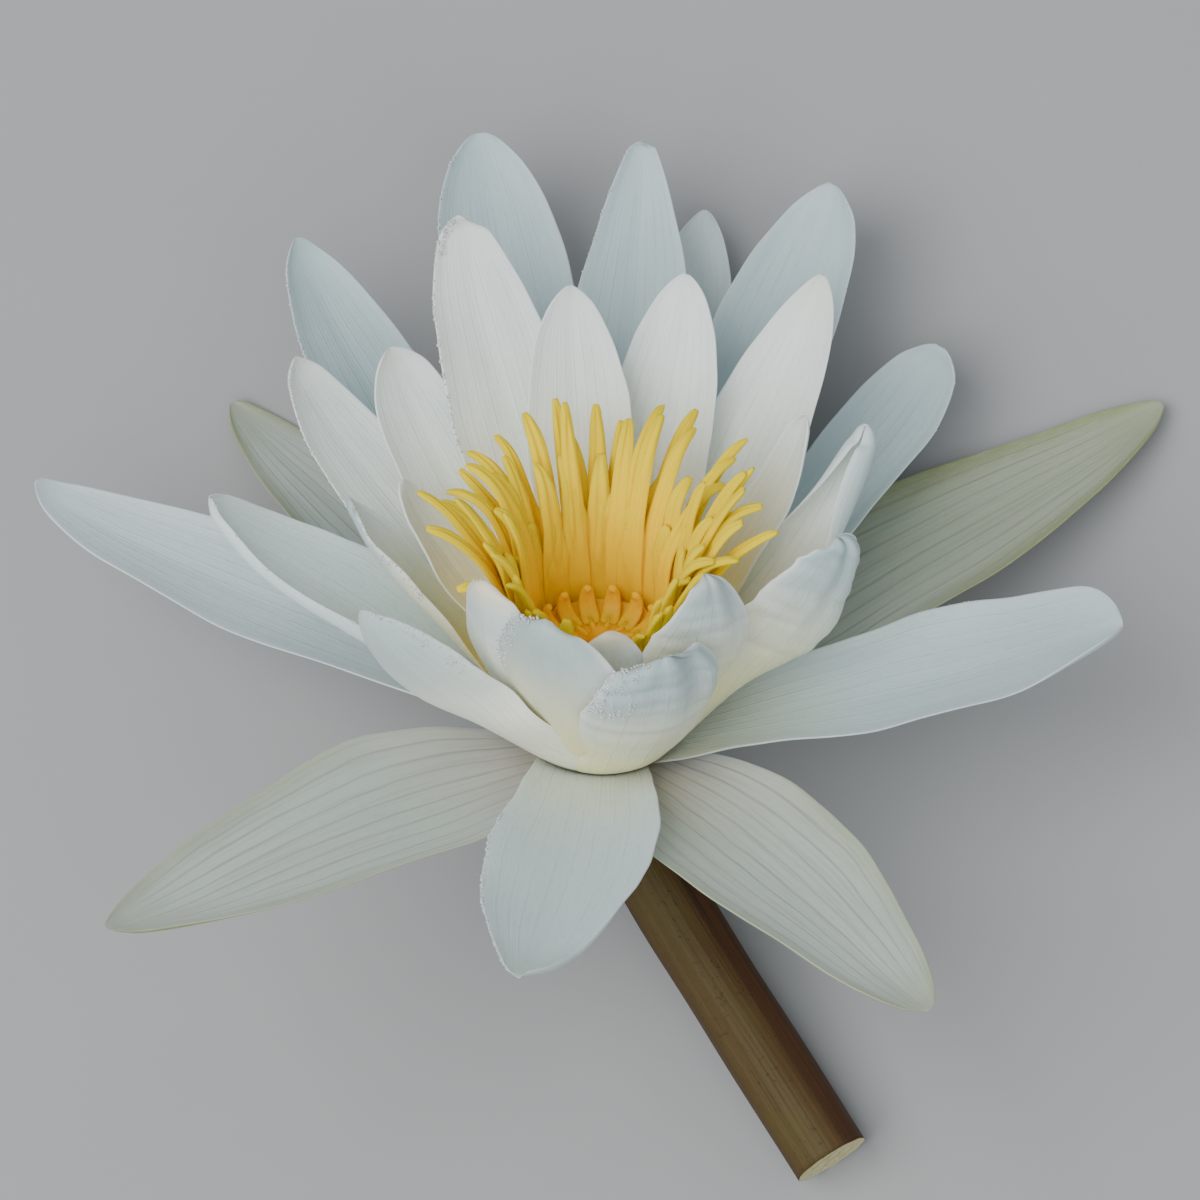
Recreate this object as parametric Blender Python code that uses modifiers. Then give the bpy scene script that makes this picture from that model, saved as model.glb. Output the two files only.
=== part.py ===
"""White water lily blossom with a length of its stem, lying on a flat surface.

Metres, +Z up. The flower is modelled upright round its own axis, with the foot
of its ovary at the origin of an empty. The empty then lays it down on three low
points: the cut end of the stem and the tips of the two back sepals.
"""
import math
import random
from dataclasses import dataclass

import bmesh
import bpy
import numpy as np
from mathutils import Matrix, Vector

MM = 0.001

# Ovary: a bowl that widens upwards, with the sepals and petals seated on its side.
OVARY_FOOT = 7.0           # radius at the sepals, mm
OVARY_RADIUS = 10.2        # radius at its widest
OVARY_WIDEST = 9.0         # height of the widest ring above the sepals
NECK_RADIUS = 8.3          # the narrower band that carries the collar of stamens
DISC_TOP = 16.0            # height of the stigma disc's rim
SEAT_GAP = 0.45            # from the ovary to the middle of a petal's base
TIER = 1.35                # height from one row of seats to the next

# Blades: sepals, petals and stamens are thin curved sheets.
PETAL_THICKNESS = 0.7
STAMEN_THICKNESS = 0.8
TIP_END = 0.995            # where along its length a blade is cut off at the tip
CENTRE_STEPS = 200         # steps used to walk along a blade's middle line

# Stem: leaves the flower downwards and bends to one side.
STEM_RADIUS = 4.8
RECEPTACLE_RADIUS = 6.5
STEM_TOP = -1.0            # height of the receptacle's face under the ovary
STEM_ROUTE = [(0, 0, -2.5), (0, 0, -9), (10, -14, -17), (28, -38, -34)]
STEM_POINTS = 12

# Resting attitude: turns of the upright flower, in degrees.
LEAN_BACK = 33.8
LEAN_LEFT = 9.2


@dataclass(frozen=True)
class Outline:
    """How a blade's width grows from its seat and closes at its tip."""
    peak: float            # where the blade is widest, as a share of its length
    fullness: float        # higher keeps the width further towards the tip
    roundness: float       # lower makes a rounder tip


@dataclass(frozen=True)
class Blade:
    """One sepal, petal or stamen; lengths in mm, angles in degrees."""
    azimuth: float         # round the flower's axis: 0 to the right, 90 to the back
    lift: float            # rise above level, halfway along
    length: float
    width: float
    tier: float            # height of its seat, in rows
    curl: float = 8        # how far it turns upwards from seat to tip
    cup: float = 34        # half angle of its trough
    claw: float = 5        # width at its seat
    seat: float = None     # azimuth of its seat, where that isn't its own
    bend: float = 0        # how far it turns sideways from seat to tip
    hook: float = 12       # extra turn upwards of the hooded tip


SEPAL_OUTLINE = Outline(peak=0.42, fullness=1.6, roundness=0.70)
PETAL_OUTLINE = Outline(peak=0.55, fullness=2.2, roundness=0.66)
BROAD_OUTLINE = Outline(peak=0.47, fullness=2.0, roundness=0.66)

SEPALS = {
    "sepal_front_left": Blade(220, 8, 68, 23, tier=0, curl=-14, cup=30, claw=8),
    "sepal_front_right": Blade(301, 9, 66.5, 23, tier=0, curl=-14, cup=30, claw=8, seat=305),
    "sepal_back_right": Blade(30, 15, 76.5, 23, tier=0, curl=-8, cup=30, claw=8),
    "sepal_back_left": Blade(130, 7, 66.5, 20, tier=0, curl=-6, cup=30, claw=8, seat=127),
}

OUTER_PETALS = {
    "petal_outer_1": Blade(44, 25, 58, 15.5, tier=1.7, seat=39),
    "petal_outer_2": Blade(64, 31, 68, 17.5, tier=3.3),
    "petal_outer_3": Blade(78, 28, 67, 15, tier=0.8, seat=80),
    "petal_outer_4": Blade(86, 34, 65.5, 16.5, tier=4.6),
    "petal_outer_5": Blade(102, 31, 73.5, 17.5, tier=2.6),
    "petal_outer_6": Blade(125, 28, 69.5, 17, tier=1, seat=123),
    "petal_outer_7": Blade(157, 10, 69.5, 18, tier=1.6, curl=2, cup=36, seat=163),
    "petal_outer_8": Blade(168, 31, 47, 16, tier=2.7, curl=10, cup=36, claw=4.5, seat=167),
    "petal_outer_9": Blade(261, 13, 55, 19, tier=1.6, curl=-12, cup=30, claw=7, bend=-14),
    "petal_outer_10": Blade(351, 25, 60, 18, tier=1.2, curl=6, cup=36, claw=5, seat=350),
}
BROAD_PETALS = ("petal_outer_7", "petal_outer_9", "petal_outer_10")

MIDDLE_PETALS = {
    "petal_middle_1": Blade(28, 46, 40.5, 10.5, tier=4, curl=16, cup=50, seat=23),
    "petal_middle_2": Blade(55, 42, 52, 13.5, tier=4.8, curl=12),
    "petal_middle_3": Blade(75, 46, 45.5, 14, tier=6.2, curl=12),
    "petal_middle_4": Blade(96, 52, 41.5, 13.5, tier=7.7, curl=14),
    "petal_middle_5": Blade(112, 45, 53.5, 15.5, tier=6.5, curl=12, seat=110),
    "petal_middle_6": Blade(128, 42, 42, 12, tier=5.2, curl=14, cup=36, claw=4.5, seat=131),
    "petal_middle_7": Blade(139, 34, 49.5, 13.5, tier=3.7, curl=12, cup=34, seat=139),
    "petal_middle_8": Blade(199, 49, 32, 15.5, tier=3.6, curl=26, cup=44, claw=6, seat=203),
}

INNER_PETALS = {
    "petal_inner_1": Blade(36, 52, 34.5, 9, tier=6.3, curl=14, cup=40, seat=33),
    "petal_inner_2": Blade(152, 49, 27, 9, tier=6.7, curl=16, cup=40, claw=4.5, seat=148),
    "petal_inner_3": Blade(157, 42, 31.5, 10.5, tier=5, curl=16, cup=44, seat=163),
    "petal_inner_4": Blade(222, 75, 26.5, 10.5, tier=5.7, curl=28, cup=40, claw=4.5, seat=220),
    "petal_inner_5": Blade(254, 69, 32, 16, tier=4, curl=36, cup=44, seat=250),
    "petal_inner_6": Blade(276, 80, 19.5, 8, tier=6.9, curl=26, cup=36, claw=4.5),
    "petal_inner_7": Blade(290, 62, 29.5, 16, tier=3, curl=44, cup=44),
    "petal_inner_8": Blade(326, 77, 28, 11.5, tier=5, curl=28, cup=40),
    "petal_inner_9": Blade(355, 58, 37.5, 15, tier=2.7, curl=24, cup=40, claw=4.5, seat=349),
}


@dataclass(frozen=True)
class StamenRing:
    """One ring of stamens on the collar; lengths in mm, angles in degrees."""
    count: int
    radius: float
    height: float
    lift: float
    curl: float
    length: float
    width: float


STAMEN_RINGS = [
    StamenRing(count=20, radius=9.9, height=12.6, lift=72, curl=-26, length=27, width=2.4),
    StamenRing(count=17, radius=9.7, height=13.2, lift=78, curl=-12, length=23, width=2.2),
    StamenRing(count=14, radius=9.6, height=13.6, lift=84, curl=6, length=18, width=2.0),
]
STAMEN_OUTLINE = Outline(peak=0.3, fullness=1.4, roundness=0.35)
FRONT_SHORTENING = 0.46    # share of its length that a stamen at the front lacks
FRONT_STRAIGHTENING = 14   # degrees that a stamen at the front stands steeper
STAMEN_SEED = 7

RAY_COUNT = 14


# ---------------------------------------------------------------- surfaces

def smooth_step(start, end, value):
    """0 before start, 1 after end, with a soft change between them."""
    share = np.clip((value - start) / (end - start), 0.0, 1.0)
    return share * share * (3.0 - 2.0 * share)


def half_width(blade, outline, along):
    """Half of the blade's width at a share of its length, in mm."""
    claw = blade.claw / blade.width
    if along < outline.peak:
        share = claw + (1.0 - claw) * math.sin(along / outline.peak * math.pi / 2) ** 1.15
    else:
        rest = (along - outline.peak) / (1.0 - outline.peak)
        share = (1.0 - rest ** outline.fullness) ** outline.roundness
    return blade.width / 2 * share


def centre_line(blade, start):
    """Points and directions along the blade's middle, from start, in mm."""
    along = np.linspace(0.0, 1.0, CENTRE_STEPS + 1)
    rise = np.radians(blade.lift + blade.curl * (along - 0.5)
                      + blade.hook * smooth_step(0.75, 1.0, along))
    turn = np.radians(blade.azimuth + blade.bend * (along - 0.5))
    direction = np.stack([np.cos(rise) * np.cos(turn),
                          np.cos(rise) * np.sin(turn),
                          np.sin(rise)], axis=-1)
    steps = (direction[1:] + direction[:-1]) / 2 * blade.length / CENTRE_STEPS
    points = np.vstack([np.zeros(3), np.cumsum(steps, axis=0)]) + np.array(start)
    return along, points, direction


def sheet_point(blade, outline, line, along, across):
    """A point of the blade's middle surface; across runs from -1 to 1."""
    shares, points, directions = line
    centre = Vector([np.interp(along, shares, points[:, k]) for k in range(3)])
    tangent = Vector([np.interp(along, shares, directions[:, k]) for k in range(3)]).normalized()
    turn = math.radians(blade.azimuth + blade.bend * (along - 0.5))
    sideways = Vector((-math.sin(turn), math.cos(turn), 0.0))
    inward = tangent.cross(sideways)
    opened = (0.6 * (1.0 - float(smooth_step(0.0, 0.2, along)))
              + 0.35 * float(smooth_step(0.15, 0.6, along))
              - 0.35 * float(smooth_step(0.8, 1.0, along)))
    trough = math.radians(blade.cup) * (1.0 - opened)
    reach = half_width(blade, outline, along) / trough
    side = reach * math.sin(trough * across)
    rise = reach * (1.0 - math.cos(trough * across))
    return centre + sideways * side + inward * rise


def blade_mesh(name, blade, outline, start, rows, columns):
    """The blade's middle surface as a grid of triangles, in metres."""
    line = centre_line(blade, start)
    sheet = bmesh.new()
    bmesh.ops.create_grid(sheet, x_segments=columns, y_segments=rows, size=1.0)
    for vertex in sheet.verts:
        share = (vertex.co.y + 1.0) / 2.0
        along = TIP_END * (1.0 - (1.0 - share) ** 1.35)
        vertex.co = sheet_point(blade, outline, line, along, vertex.co.x) * MM
    bmesh.ops.triangulate(sheet, faces=sheet.faces)
    mesh = bpy.data.meshes.new(name)
    sheet.to_mesh(mesh)
    sheet.free()
    return mesh


# ---------------------------------------------------------------- materials

def plain_material(name, colour, roughness):
    """A Principled material of one colour."""
    material = bpy.data.materials.new(name)
    material.use_nodes = True
    shader = material.node_tree.nodes["Principled BSDF"]
    shader.inputs["Base Color"].default_value = (*colour, 1.0)
    shader.inputs["Roughness"].default_value = roughness
    shader.inputs["Metallic"].default_value = 0.0
    return material


# ---------------------------------------------------------------- helpers

def add_object(name, mesh, material, collection, parent):
    """Put a mesh into the flower as one named object."""
    mesh.materials.clear()
    mesh.materials.append(material)
    piece = bpy.data.objects.new(name, mesh)
    collection.objects.link(piece)
    piece.parent = parent
    return piece


def solidify(piece, thickness):
    """Give a sheet its thickness, half to each side."""
    shell = piece.modifiers.new("thickness", "SOLIDIFY")
    shell.thickness = thickness * MM
    shell.offset = 0.0


def evaluated_mesh(piece):
    """A copy of the piece's mesh with its modifiers applied."""
    bpy.context.view_layer.update()
    graph = bpy.context.evaluated_depsgraph_get()
    return bpy.data.meshes.new_from_object(piece.evaluated_get(graph))


def remove_object(piece):
    """Delete an object that was only needed to make another."""
    bpy.data.objects.remove(piece, do_unlink=True)


def turned_mesh(name, profile, sides):
    """A solid turned round +Z from (radius, height) points, top to bottom, in mm."""
    outline = bpy.data.meshes.new(name + "_profile")
    points = [(radius * MM, 0.0, height * MM) for radius, height in profile]
    edges = [(k, k + 1) for k in range(len(points) - 1)]
    outline.from_pydata(points, edges, [])
    piece = bpy.data.objects.new(name + "_profile", outline)
    bpy.context.scene.collection.objects.link(piece)
    screw = piece.modifiers.new("turn", "SCREW")
    screw.steps = sides
    screw.render_steps = sides
    screw.use_merge_vertices = True
    screw.merge_threshold = 0.00001
    mesh = evaluated_mesh(piece)
    remove_object(piece)
    return mesh


def keep_outer_skin(mesh):
    """Drop every loose shell but the largest, which fills what fusing sealed off."""
    skin = bmesh.new()
    skin.from_mesh(mesh)
    waiting = set(skin.faces)
    shells = []
    while waiting:
        edge_of_shell = [waiting.pop()]
        shell = []
        while edge_of_shell:
            face = edge_of_shell.pop()
            shell.append(face)
            for edge in face.edges:
                for other in edge.link_faces:
                    if other in waiting:
                        waiting.remove(other)
                        edge_of_shell.append(other)
        shells.append(shell)
    shells.sort(key=len)
    for shell in shells[:-1]:
        bmesh.ops.delete(skin, geom=shell, context="FACES")
    loose = [vertex for vertex in skin.verts if not vertex.link_faces]
    bmesh.ops.delete(skin, geom=loose, context="VERTS")
    skin.to_mesh(mesh)
    skin.free()


def joined(base, repeats):
    """Fuse the repeats into the base with one Boolean union, applied."""
    group = bpy.data.collections.new(base.name + "_repeats")
    bpy.context.scene.collection.children.link(group)
    for piece in repeats:
        bpy.context.scene.collection.objects.unlink(piece)
        group.objects.link(piece)
    union = base.modifiers.new("union", "BOOLEAN")
    union.operation = "UNION"
    union.operand_type = "COLLECTION"
    union.collection = group
    union.solver = "EXACT"
    mesh = evaluated_mesh(base)
    keep_outer_skin(mesh)
    base.modifiers.clear()
    base.data = mesh
    for piece in repeats:
        remove_object(piece)
    bpy.data.collections.remove(group)


def loose_blade(name, blade, outline, start, rows, thickness):
    """A solid blade outside the flower's collection, ready to be fused."""
    sheet = bpy.data.objects.new(name, blade_mesh(name, blade, outline, start, rows, 1))
    bpy.context.scene.collection.objects.link(sheet)
    solidify(sheet, thickness)
    solid = bpy.data.objects.new(name, evaluated_mesh(sheet))
    remove_object(sheet)
    bpy.context.scene.collection.objects.link(solid)
    return solid


# ---------------------------------------------------------------- sub-parts

def ovary_radius(height):
    """Radius of the ovary's side at a height, in mm."""
    below = max(0.0, (OVARY_WIDEST - height) / OVARY_WIDEST)
    return OVARY_RADIUS - (OVARY_RADIUS - OVARY_FOOT) * below ** 2


def seat_point(blade):
    """Where the middle of a blade's base meets the ovary, in mm."""
    height = blade.tier * TIER
    radius = ovary_radius(height) + SEAT_GAP + PETAL_THICKNESS / 2
    turn = math.radians(blade.azimuth if blade.seat is None else blade.seat)
    return (radius * math.cos(turn), radius * math.sin(turn), height)


def add_whorl(blades, material, collection, parent, rows=9, columns=6):
    """One object for each sepal or petal of a whorl."""
    for name, blade in blades.items():
        if name in SEPALS:
            outline = SEPAL_OUTLINE
        elif name in BROAD_PETALS:
            outline = BROAD_OUTLINE
        else:
            outline = PETAL_OUTLINE
        mesh = blade_mesh(name, blade, outline, seat_point(blade), rows, columns)
        piece = add_object(name, mesh, material, collection, parent)
        solidify(piece, PETAL_THICKNESS)


def stamen_blades():
    """Every stamen of the rings, with a small seeded spread, and its root."""
    spread = random.Random(STAMEN_SEED)
    for ring in STAMEN_RINGS:
        for k in range(ring.count):
            azimuth = 360.0 * (k + 0.5 * spread.random()) / ring.count
            front = max(0.0, -math.sin(math.radians(azimuth)))
            length = ring.length * (1.0 - FRONT_SHORTENING * front) * spread.uniform(0.92, 1.06)
            lift = min(ring.lift + FRONT_STRAIGHTENING * front + spread.uniform(-4.0, 4.0), 88.0)
            curl = ring.curl * (1.0 - front) * spread.uniform(0.6, 1.4)
            blade = Blade(azimuth, lift, length, ring.width, tier=0, curl=curl, cup=12,
                          claw=ring.width * 0.8, bend=spread.uniform(-10.0, 10.0), hook=0)
            turn = math.radians(azimuth)
            root = (ring.radius * math.cos(turn), ring.radius * math.sin(turn), ring.height)
            yield blade, root


def add_stamens(material, collection, parent):
    """The collar on the ovary's neck, with all the stamens fused into it."""
    inner = NECK_RADIUS + 0.3
    profile = [(inner, 14.4), (10.0, 14.2), (10.4, 13.2), (10.2, 12.2), (9.7, 11.7), (inner, 11.7)]
    profile.append(profile[0])
    collar = add_object("stamens", turned_mesh("stamens", profile, 40), material, collection, parent)
    straps = [loose_blade("strap", blade, STAMEN_OUTLINE, root, 5, STAMEN_THICKNESS)
              for blade, root in stamen_blades()]
    joined(collar, straps)
    collar.data.materials.clear()
    collar.data.materials.append(material)


def add_pistil(material, collection, parent):
    """The ovary with its stigma disc, the hooked rays on the rim and the knob."""
    side = [(ovary_radius(height), height) for height in (9.0, 7.0, 5.0, 3.0, 1.4, 0.0)]
    profile = [(0.0, 17.6), (0.9, 17.4), (1.4, 16.6), (1.6, 15.4), (4.5, 14.9), (7.2, 15.5),
               (7.9, DISC_TOP), (8.3, 15.4), (NECK_RADIUS, 14.4), (NECK_RADIUS, 11.4),
               (9.6, 10.6), *side, (6.4, -0.7), (0.0, -0.7)]
    body = add_object("pistil", turned_mesh("pistil", profile, 32), material, collection, parent)
    rays = []
    for k in range(RAY_COUNT):
        azimuth = 360.0 * k / RAY_COUNT
        turn = math.radians(azimuth)
        root = (4.4 * math.cos(turn), 4.4 * math.sin(turn), 14.9)
        ray = Blade(azimuth, 42, 5.6, 2.0, tier=0, curl=70, cup=12, claw=1.4, hook=30)
        rays.append(loose_blade("ray", ray, STAMEN_OUTLINE, root, 3, 0.9))
    joined(body, rays)
    body.data.materials.clear()
    body.data.materials.append(material)


def stem_point(share):
    """A point of the bent part of the stem's middle line, down to its cut end, in mm."""
    corners = [Vector(point) for point in STEM_ROUTE]
    weights = [(1 - share) ** 3, 3 * share * (1 - share) ** 2, 3 * share ** 2 * (1 - share),
               share ** 3]
    return sum((weight * corner for weight, corner in zip(weights, corners)), Vector())


def add_stem(material, collection, parent):
    """The stem, widening into the receptacle under the sepals."""
    route = bpy.data.curves.new("stem", "CURVE")
    route.dimensions = "3D"
    route.bevel_depth = STEM_RADIUS * MM
    route.bevel_resolution = 4
    route.use_fill_caps = True
    spline = route.splines.new("POLY")
    spline.points.add(STEM_POINTS)
    flare = RECEPTACLE_RADIUS / STEM_RADIUS - 1.0
    spline.points[0].co = (0.0, 0.0, STEM_TOP * MM, 1.0)
    spline.points[0].radius = 1.0 + flare
    for k in range(STEM_POINTS):
        share = (k / (STEM_POINTS - 1)) ** 1.3
        point = spline.points[k + 1]
        point.co = (*(stem_point(share) * MM), 1.0)
        point.radius = 1.0 + flare * (1.0 - float(smooth_step(0.0, 0.16, share)))
    route.materials.append(material)
    stem = bpy.data.objects.new("stem", route)
    collection.objects.link(stem)
    stem.parent = parent


# ---------------------------------------------------------------- resting

def flower_points(collection):
    """Every point of the flower's evaluated pieces, in world space."""
    bpy.context.view_layer.update()
    graph = bpy.context.evaluated_depsgraph_get()
    points = []
    for piece in collection.objects:
        if piece.type == "EMPTY":
            continue
        solid = piece.evaluated_get(graph)
        mesh = solid.to_mesh()
        points += [piece.matrix_world @ vertex.co for vertex in mesh.vertices]
        solid.to_mesh_clear()
    return np.array([tuple(point) for point in points])


def lay_down(axis, collection):
    """Turn the flower to its resting attitude, centred over the origin on z = 0."""
    attitude = (Matrix.Rotation(math.radians(LEAN_LEFT), 4, "Y")
                @ Matrix.Rotation(math.radians(-LEAN_BACK), 4, "X"))
    axis.matrix_world = attitude
    points = flower_points(collection)
    low, high = points.min(axis=0), points.max(axis=0)
    shift = Vector((-(low[0] + high[0]) / 2, -(low[1] + high[1]) / 2, -low[2]))
    axis.matrix_world = Matrix.Translation(shift) @ attitude


def clear_scene():
    """Start from a scene without objects."""
    for piece in list(bpy.data.objects):
        bpy.data.objects.remove(piece, do_unlink=True)


def main():
    """Build the flower, whorl by whorl, and lay it down."""
    clear_scene()
    collection = bpy.data.collections.new("water_lily_flower")
    bpy.context.scene.collection.children.link(collection)
    axis = bpy.data.objects.new("flower_axis", None)
    collection.objects.link(axis)

    sepal = plain_material("sepal_white", (0.72, 0.74, 0.66), 0.55)
    petal = plain_material("petal_white", (0.83, 0.84, 0.82), 0.50)
    inner = plain_material("petal_cream", (0.86, 0.84, 0.74), 0.50)
    anther = plain_material("stamen_yellow", (0.90, 0.55, 0.03), 0.55)
    stigma = plain_material("stigma_orange", (0.86, 0.42, 0.04), 0.50)
    bark = plain_material("stem_brown", (0.20, 0.09, 0.03), 0.60)

    add_whorl(SEPALS, sepal, collection, axis)
    add_whorl(OUTER_PETALS, petal, collection, axis)
    add_whorl(MIDDLE_PETALS, petal, collection, axis)
    add_whorl(INNER_PETALS, inner, collection, axis)
    add_stamens(anther, collection, axis)
    add_pistil(stigma, collection, axis)
    add_stem(bark, collection, axis)
    lay_down(axis, collection)


main()
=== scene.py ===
"""Looks of a picked white water lily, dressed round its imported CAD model.

Every sepal, petal and stamen is a thin curved sheet grown by one formula, in mm and
in the flower's own frame: its foot at the origin and its axis along +Z, with 0 degrees
to the right and 90 degrees to the back. One attitude then lays the flower down.
"""
import logging
import math
import random
from dataclasses import dataclass, field
from enum import Enum
from typing import Iterator, Optional, Union

import bmesh
import bpy
import numpy as np
from mathutils import Matrix, Vector

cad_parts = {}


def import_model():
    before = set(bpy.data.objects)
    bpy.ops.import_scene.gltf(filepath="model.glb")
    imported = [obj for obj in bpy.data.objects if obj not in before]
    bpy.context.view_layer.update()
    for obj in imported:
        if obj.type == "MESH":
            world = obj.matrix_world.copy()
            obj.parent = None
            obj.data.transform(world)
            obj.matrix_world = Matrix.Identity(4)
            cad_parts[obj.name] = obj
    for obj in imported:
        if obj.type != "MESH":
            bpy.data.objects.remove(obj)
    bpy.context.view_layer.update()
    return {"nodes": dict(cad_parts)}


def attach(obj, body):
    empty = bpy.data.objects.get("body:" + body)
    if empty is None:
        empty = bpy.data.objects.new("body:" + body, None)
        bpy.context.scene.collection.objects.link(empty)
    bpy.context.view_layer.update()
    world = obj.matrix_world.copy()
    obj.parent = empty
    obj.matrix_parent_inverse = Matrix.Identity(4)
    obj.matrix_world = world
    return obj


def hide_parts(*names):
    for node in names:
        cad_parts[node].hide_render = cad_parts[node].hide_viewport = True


LOG = logging.getLogger("water_lily")
MM = 0.001
BODY = "root"

Colour = tuple[float, float, float]
Place = tuple[float, float, float]
Rows = tuple[tuple[float, ...], ...]
Grid = np.ndarray


def smooth_step(start: float, end: float, value: Grid) -> Grid:
    """Rise softly from 0 to 1.

    Args:
        start: value where the rise begins.
        end: value where it is complete.
        value: the values to weigh.

    Returns:
        An array of weights from 0 to 1.
    """
    share = np.clip((value - start) / (end - start), 0.0, 1.0)
    return share * share * (3.0 - 2.0 * share)


def around_axis(reach: float, azimuth: float, height: float) -> Place:
    """The place at a distance, an angle in degrees and a height on the flower's axis."""
    turn = math.radians(azimuth)
    return reach * math.cos(turn), reach * math.sin(turn), height


def add_object(name: str, data: bpy.types.ID) -> bpy.types.Object:
    """Put a mesh, a light or a camera into the scene.

    Args:
        name: the object's name.
        data: what it shows.

    Returns:
        The object.
    """
    made = bpy.data.objects.new(name, data)
    bpy.context.scene.collection.objects.link(made)
    return made


# ---------------------------------------------------------------- materials

class Signal:
    """One output socket of a material, with its arithmetic written as expressions."""

    def __init__(self, bench: "Bench", socket: bpy.types.NodeSocket) -> None:
        """Wrap a socket of a bench."""
        self.bench = bench
        self.socket = socket

    def _math(self, operation: str, first: "Value", second: "Value" = 0.0) -> "Signal":
        """Add one Math node.

        Args:
            operation: the Math node's operation.
            first: its first value.
            second: its second value.

        Returns:
            The node's result.
        """
        return self.bench.node("ShaderNodeMath", {"operation": operation}, {0: first, 1: second})

    def __add__(self, other: "Value") -> "Signal":
        """self + other"""
        return self._math("ADD", self, other)

    def __radd__(self, other: "Value") -> "Signal":
        """other + self"""
        return self._math("ADD", other, self)

    def __sub__(self, other: "Value") -> "Signal":
        """self - other"""
        return self._math("SUBTRACT", self, other)

    def __rsub__(self, other: "Value") -> "Signal":
        """other - self"""
        return self._math("SUBTRACT", other, self)

    def __mul__(self, other: "Value") -> "Signal":
        """self * other"""
        return self._math("MULTIPLY", self, other)

    def __rmul__(self, other: "Value") -> "Signal":
        """other * self"""
        return self._math("MULTIPLY", other, self)

    def __pow__(self, other: "Value") -> "Signal":
        """self ** other"""
        return self._math("POWER", self, other)

    def __abs__(self) -> "Signal":
        """abs(self)"""
        return self._math("ABSOLUTE", self)

    def sine(self) -> "Signal":
        """Sine of the value, in radians."""
        return self._math("SINE", self)

    def step(self, start: float, end: float) -> "Signal":
        """Rise softly from 0 to 1.

        Args:
            start: value where the rise begins.
            end: value where it is complete; below start, the rise turns into a fall.

        Returns:
            A weight from 0 to 1.
        """
        low, high = min(start, end), max(start, end)
        rise = self.bench.node("ShaderNodeMapRange", {"interpolation_type": "SMOOTHSTEP"},
                               {"Value": self, "From Min": low, "From Max": high})
        return rise if start < end else 1.0 - rise


Value = Union[Signal, float, tuple]


class Bench:
    """Builds the nodes of one material around its Principled shader."""

    def __init__(self, name: str) -> None:
        """Start a material that holds only its shader and output.

        Args:
            name: the material's name.
        """
        self.material = bpy.data.materials.new(name)
        self.material.use_nodes = True
        self.tree = self.material.node_tree
        self.shader = self.tree.nodes["Principled BSDF"]

    def node(self, kind: str, settings: dict, inputs: dict, output: Union[int, str] = 0) -> Signal:
        """Add one node.

        Args:
            kind: the node's type.
            settings: its properties, which are set before its sockets.
            inputs: a value or a Signal for each input, by name or place.
            output: the output that is wanted.

        Returns:
            That output.
        """
        made = self.tree.nodes.new(kind)
        for key, value in settings.items():
            setattr(made, key, value)
        for key, value in inputs.items():
            if isinstance(value, Signal):
                self.tree.links.new(value.socket, made.inputs[key])
            else:
                made.inputs[key].default_value = value
        return Signal(self, made.outputs[output])

    def attribute(self, name: str) -> Signal:
        """A number stored on the mesh's points."""
        return self.node("ShaderNodeAttribute", {"attribute_name": name}, {}, "Fac")

    def place(self) -> Signal:
        """The point's place on the flower, in metres."""
        return self.node("ShaderNodeTexCoord", {}, {}, "Object")

    def vector(self, x: Value, y: Value, z: Value) -> Signal:
        """Three numbers as one vector."""
        return self.node("ShaderNodeCombineXYZ", {}, {0: x, 1: y, 2: z})

    def noise(self, where: Signal, scale: float, detail: float = 3.0) -> Signal:
        """Soft noise.

        Args:
            where: the place that it is read at.
            scale: how many blobs fit into one unit.
            detail: how many finer layers it has.

        Returns:
            Its value, about 0.5 on the whole.
        """
        return self.node("ShaderNodeTexNoise", {},
                         {"Vector": where, "Scale": scale, "Detail": detail}, "Fac")

    def mix(self, first: Value, second: Value, share: Value) -> Signal:
        """Blend two colours.

        Args:
            first: the colour at share 0.
            second: the colour at share 1.
            share: how much of the second.

        Returns:
            The blend.
        """
        first, second = (value if isinstance(value, Signal) else (*value, 1.0)
                         for value in (first, second))
        return self.node("ShaderNodeMix", {"data_type": "RGBA"},
                         {"Factor": share, 6: first, 7: second}, 2)

    def bump(self, height: Signal, depth: float, strength: float = 1.0) -> Signal:
        """Turn a height into a normal.

        Args:
            height: the height, from 0 to 1.
            depth: what 1 stands for, in mm.
            strength: how much of it shows.

        Returns:
            The normal.
        """
        return self.node("ShaderNodeBump", {},
                         {"Height": height, "Distance": depth * MM, "Strength": strength})

    def finish(self, sockets: dict) -> bpy.types.Material:
        """Fill the shader's sockets.

        Args:
            sockets: a value or a Signal for each socket of the shader, by name.

        Returns:
            The material.
        """
        for key, value in sockets.items():
            if isinstance(value, Signal):
                self.tree.links.new(value.socket, self.shader.inputs[key])
            else:
                self.shader.inputs[key].default_value = value
        return self.material


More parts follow.
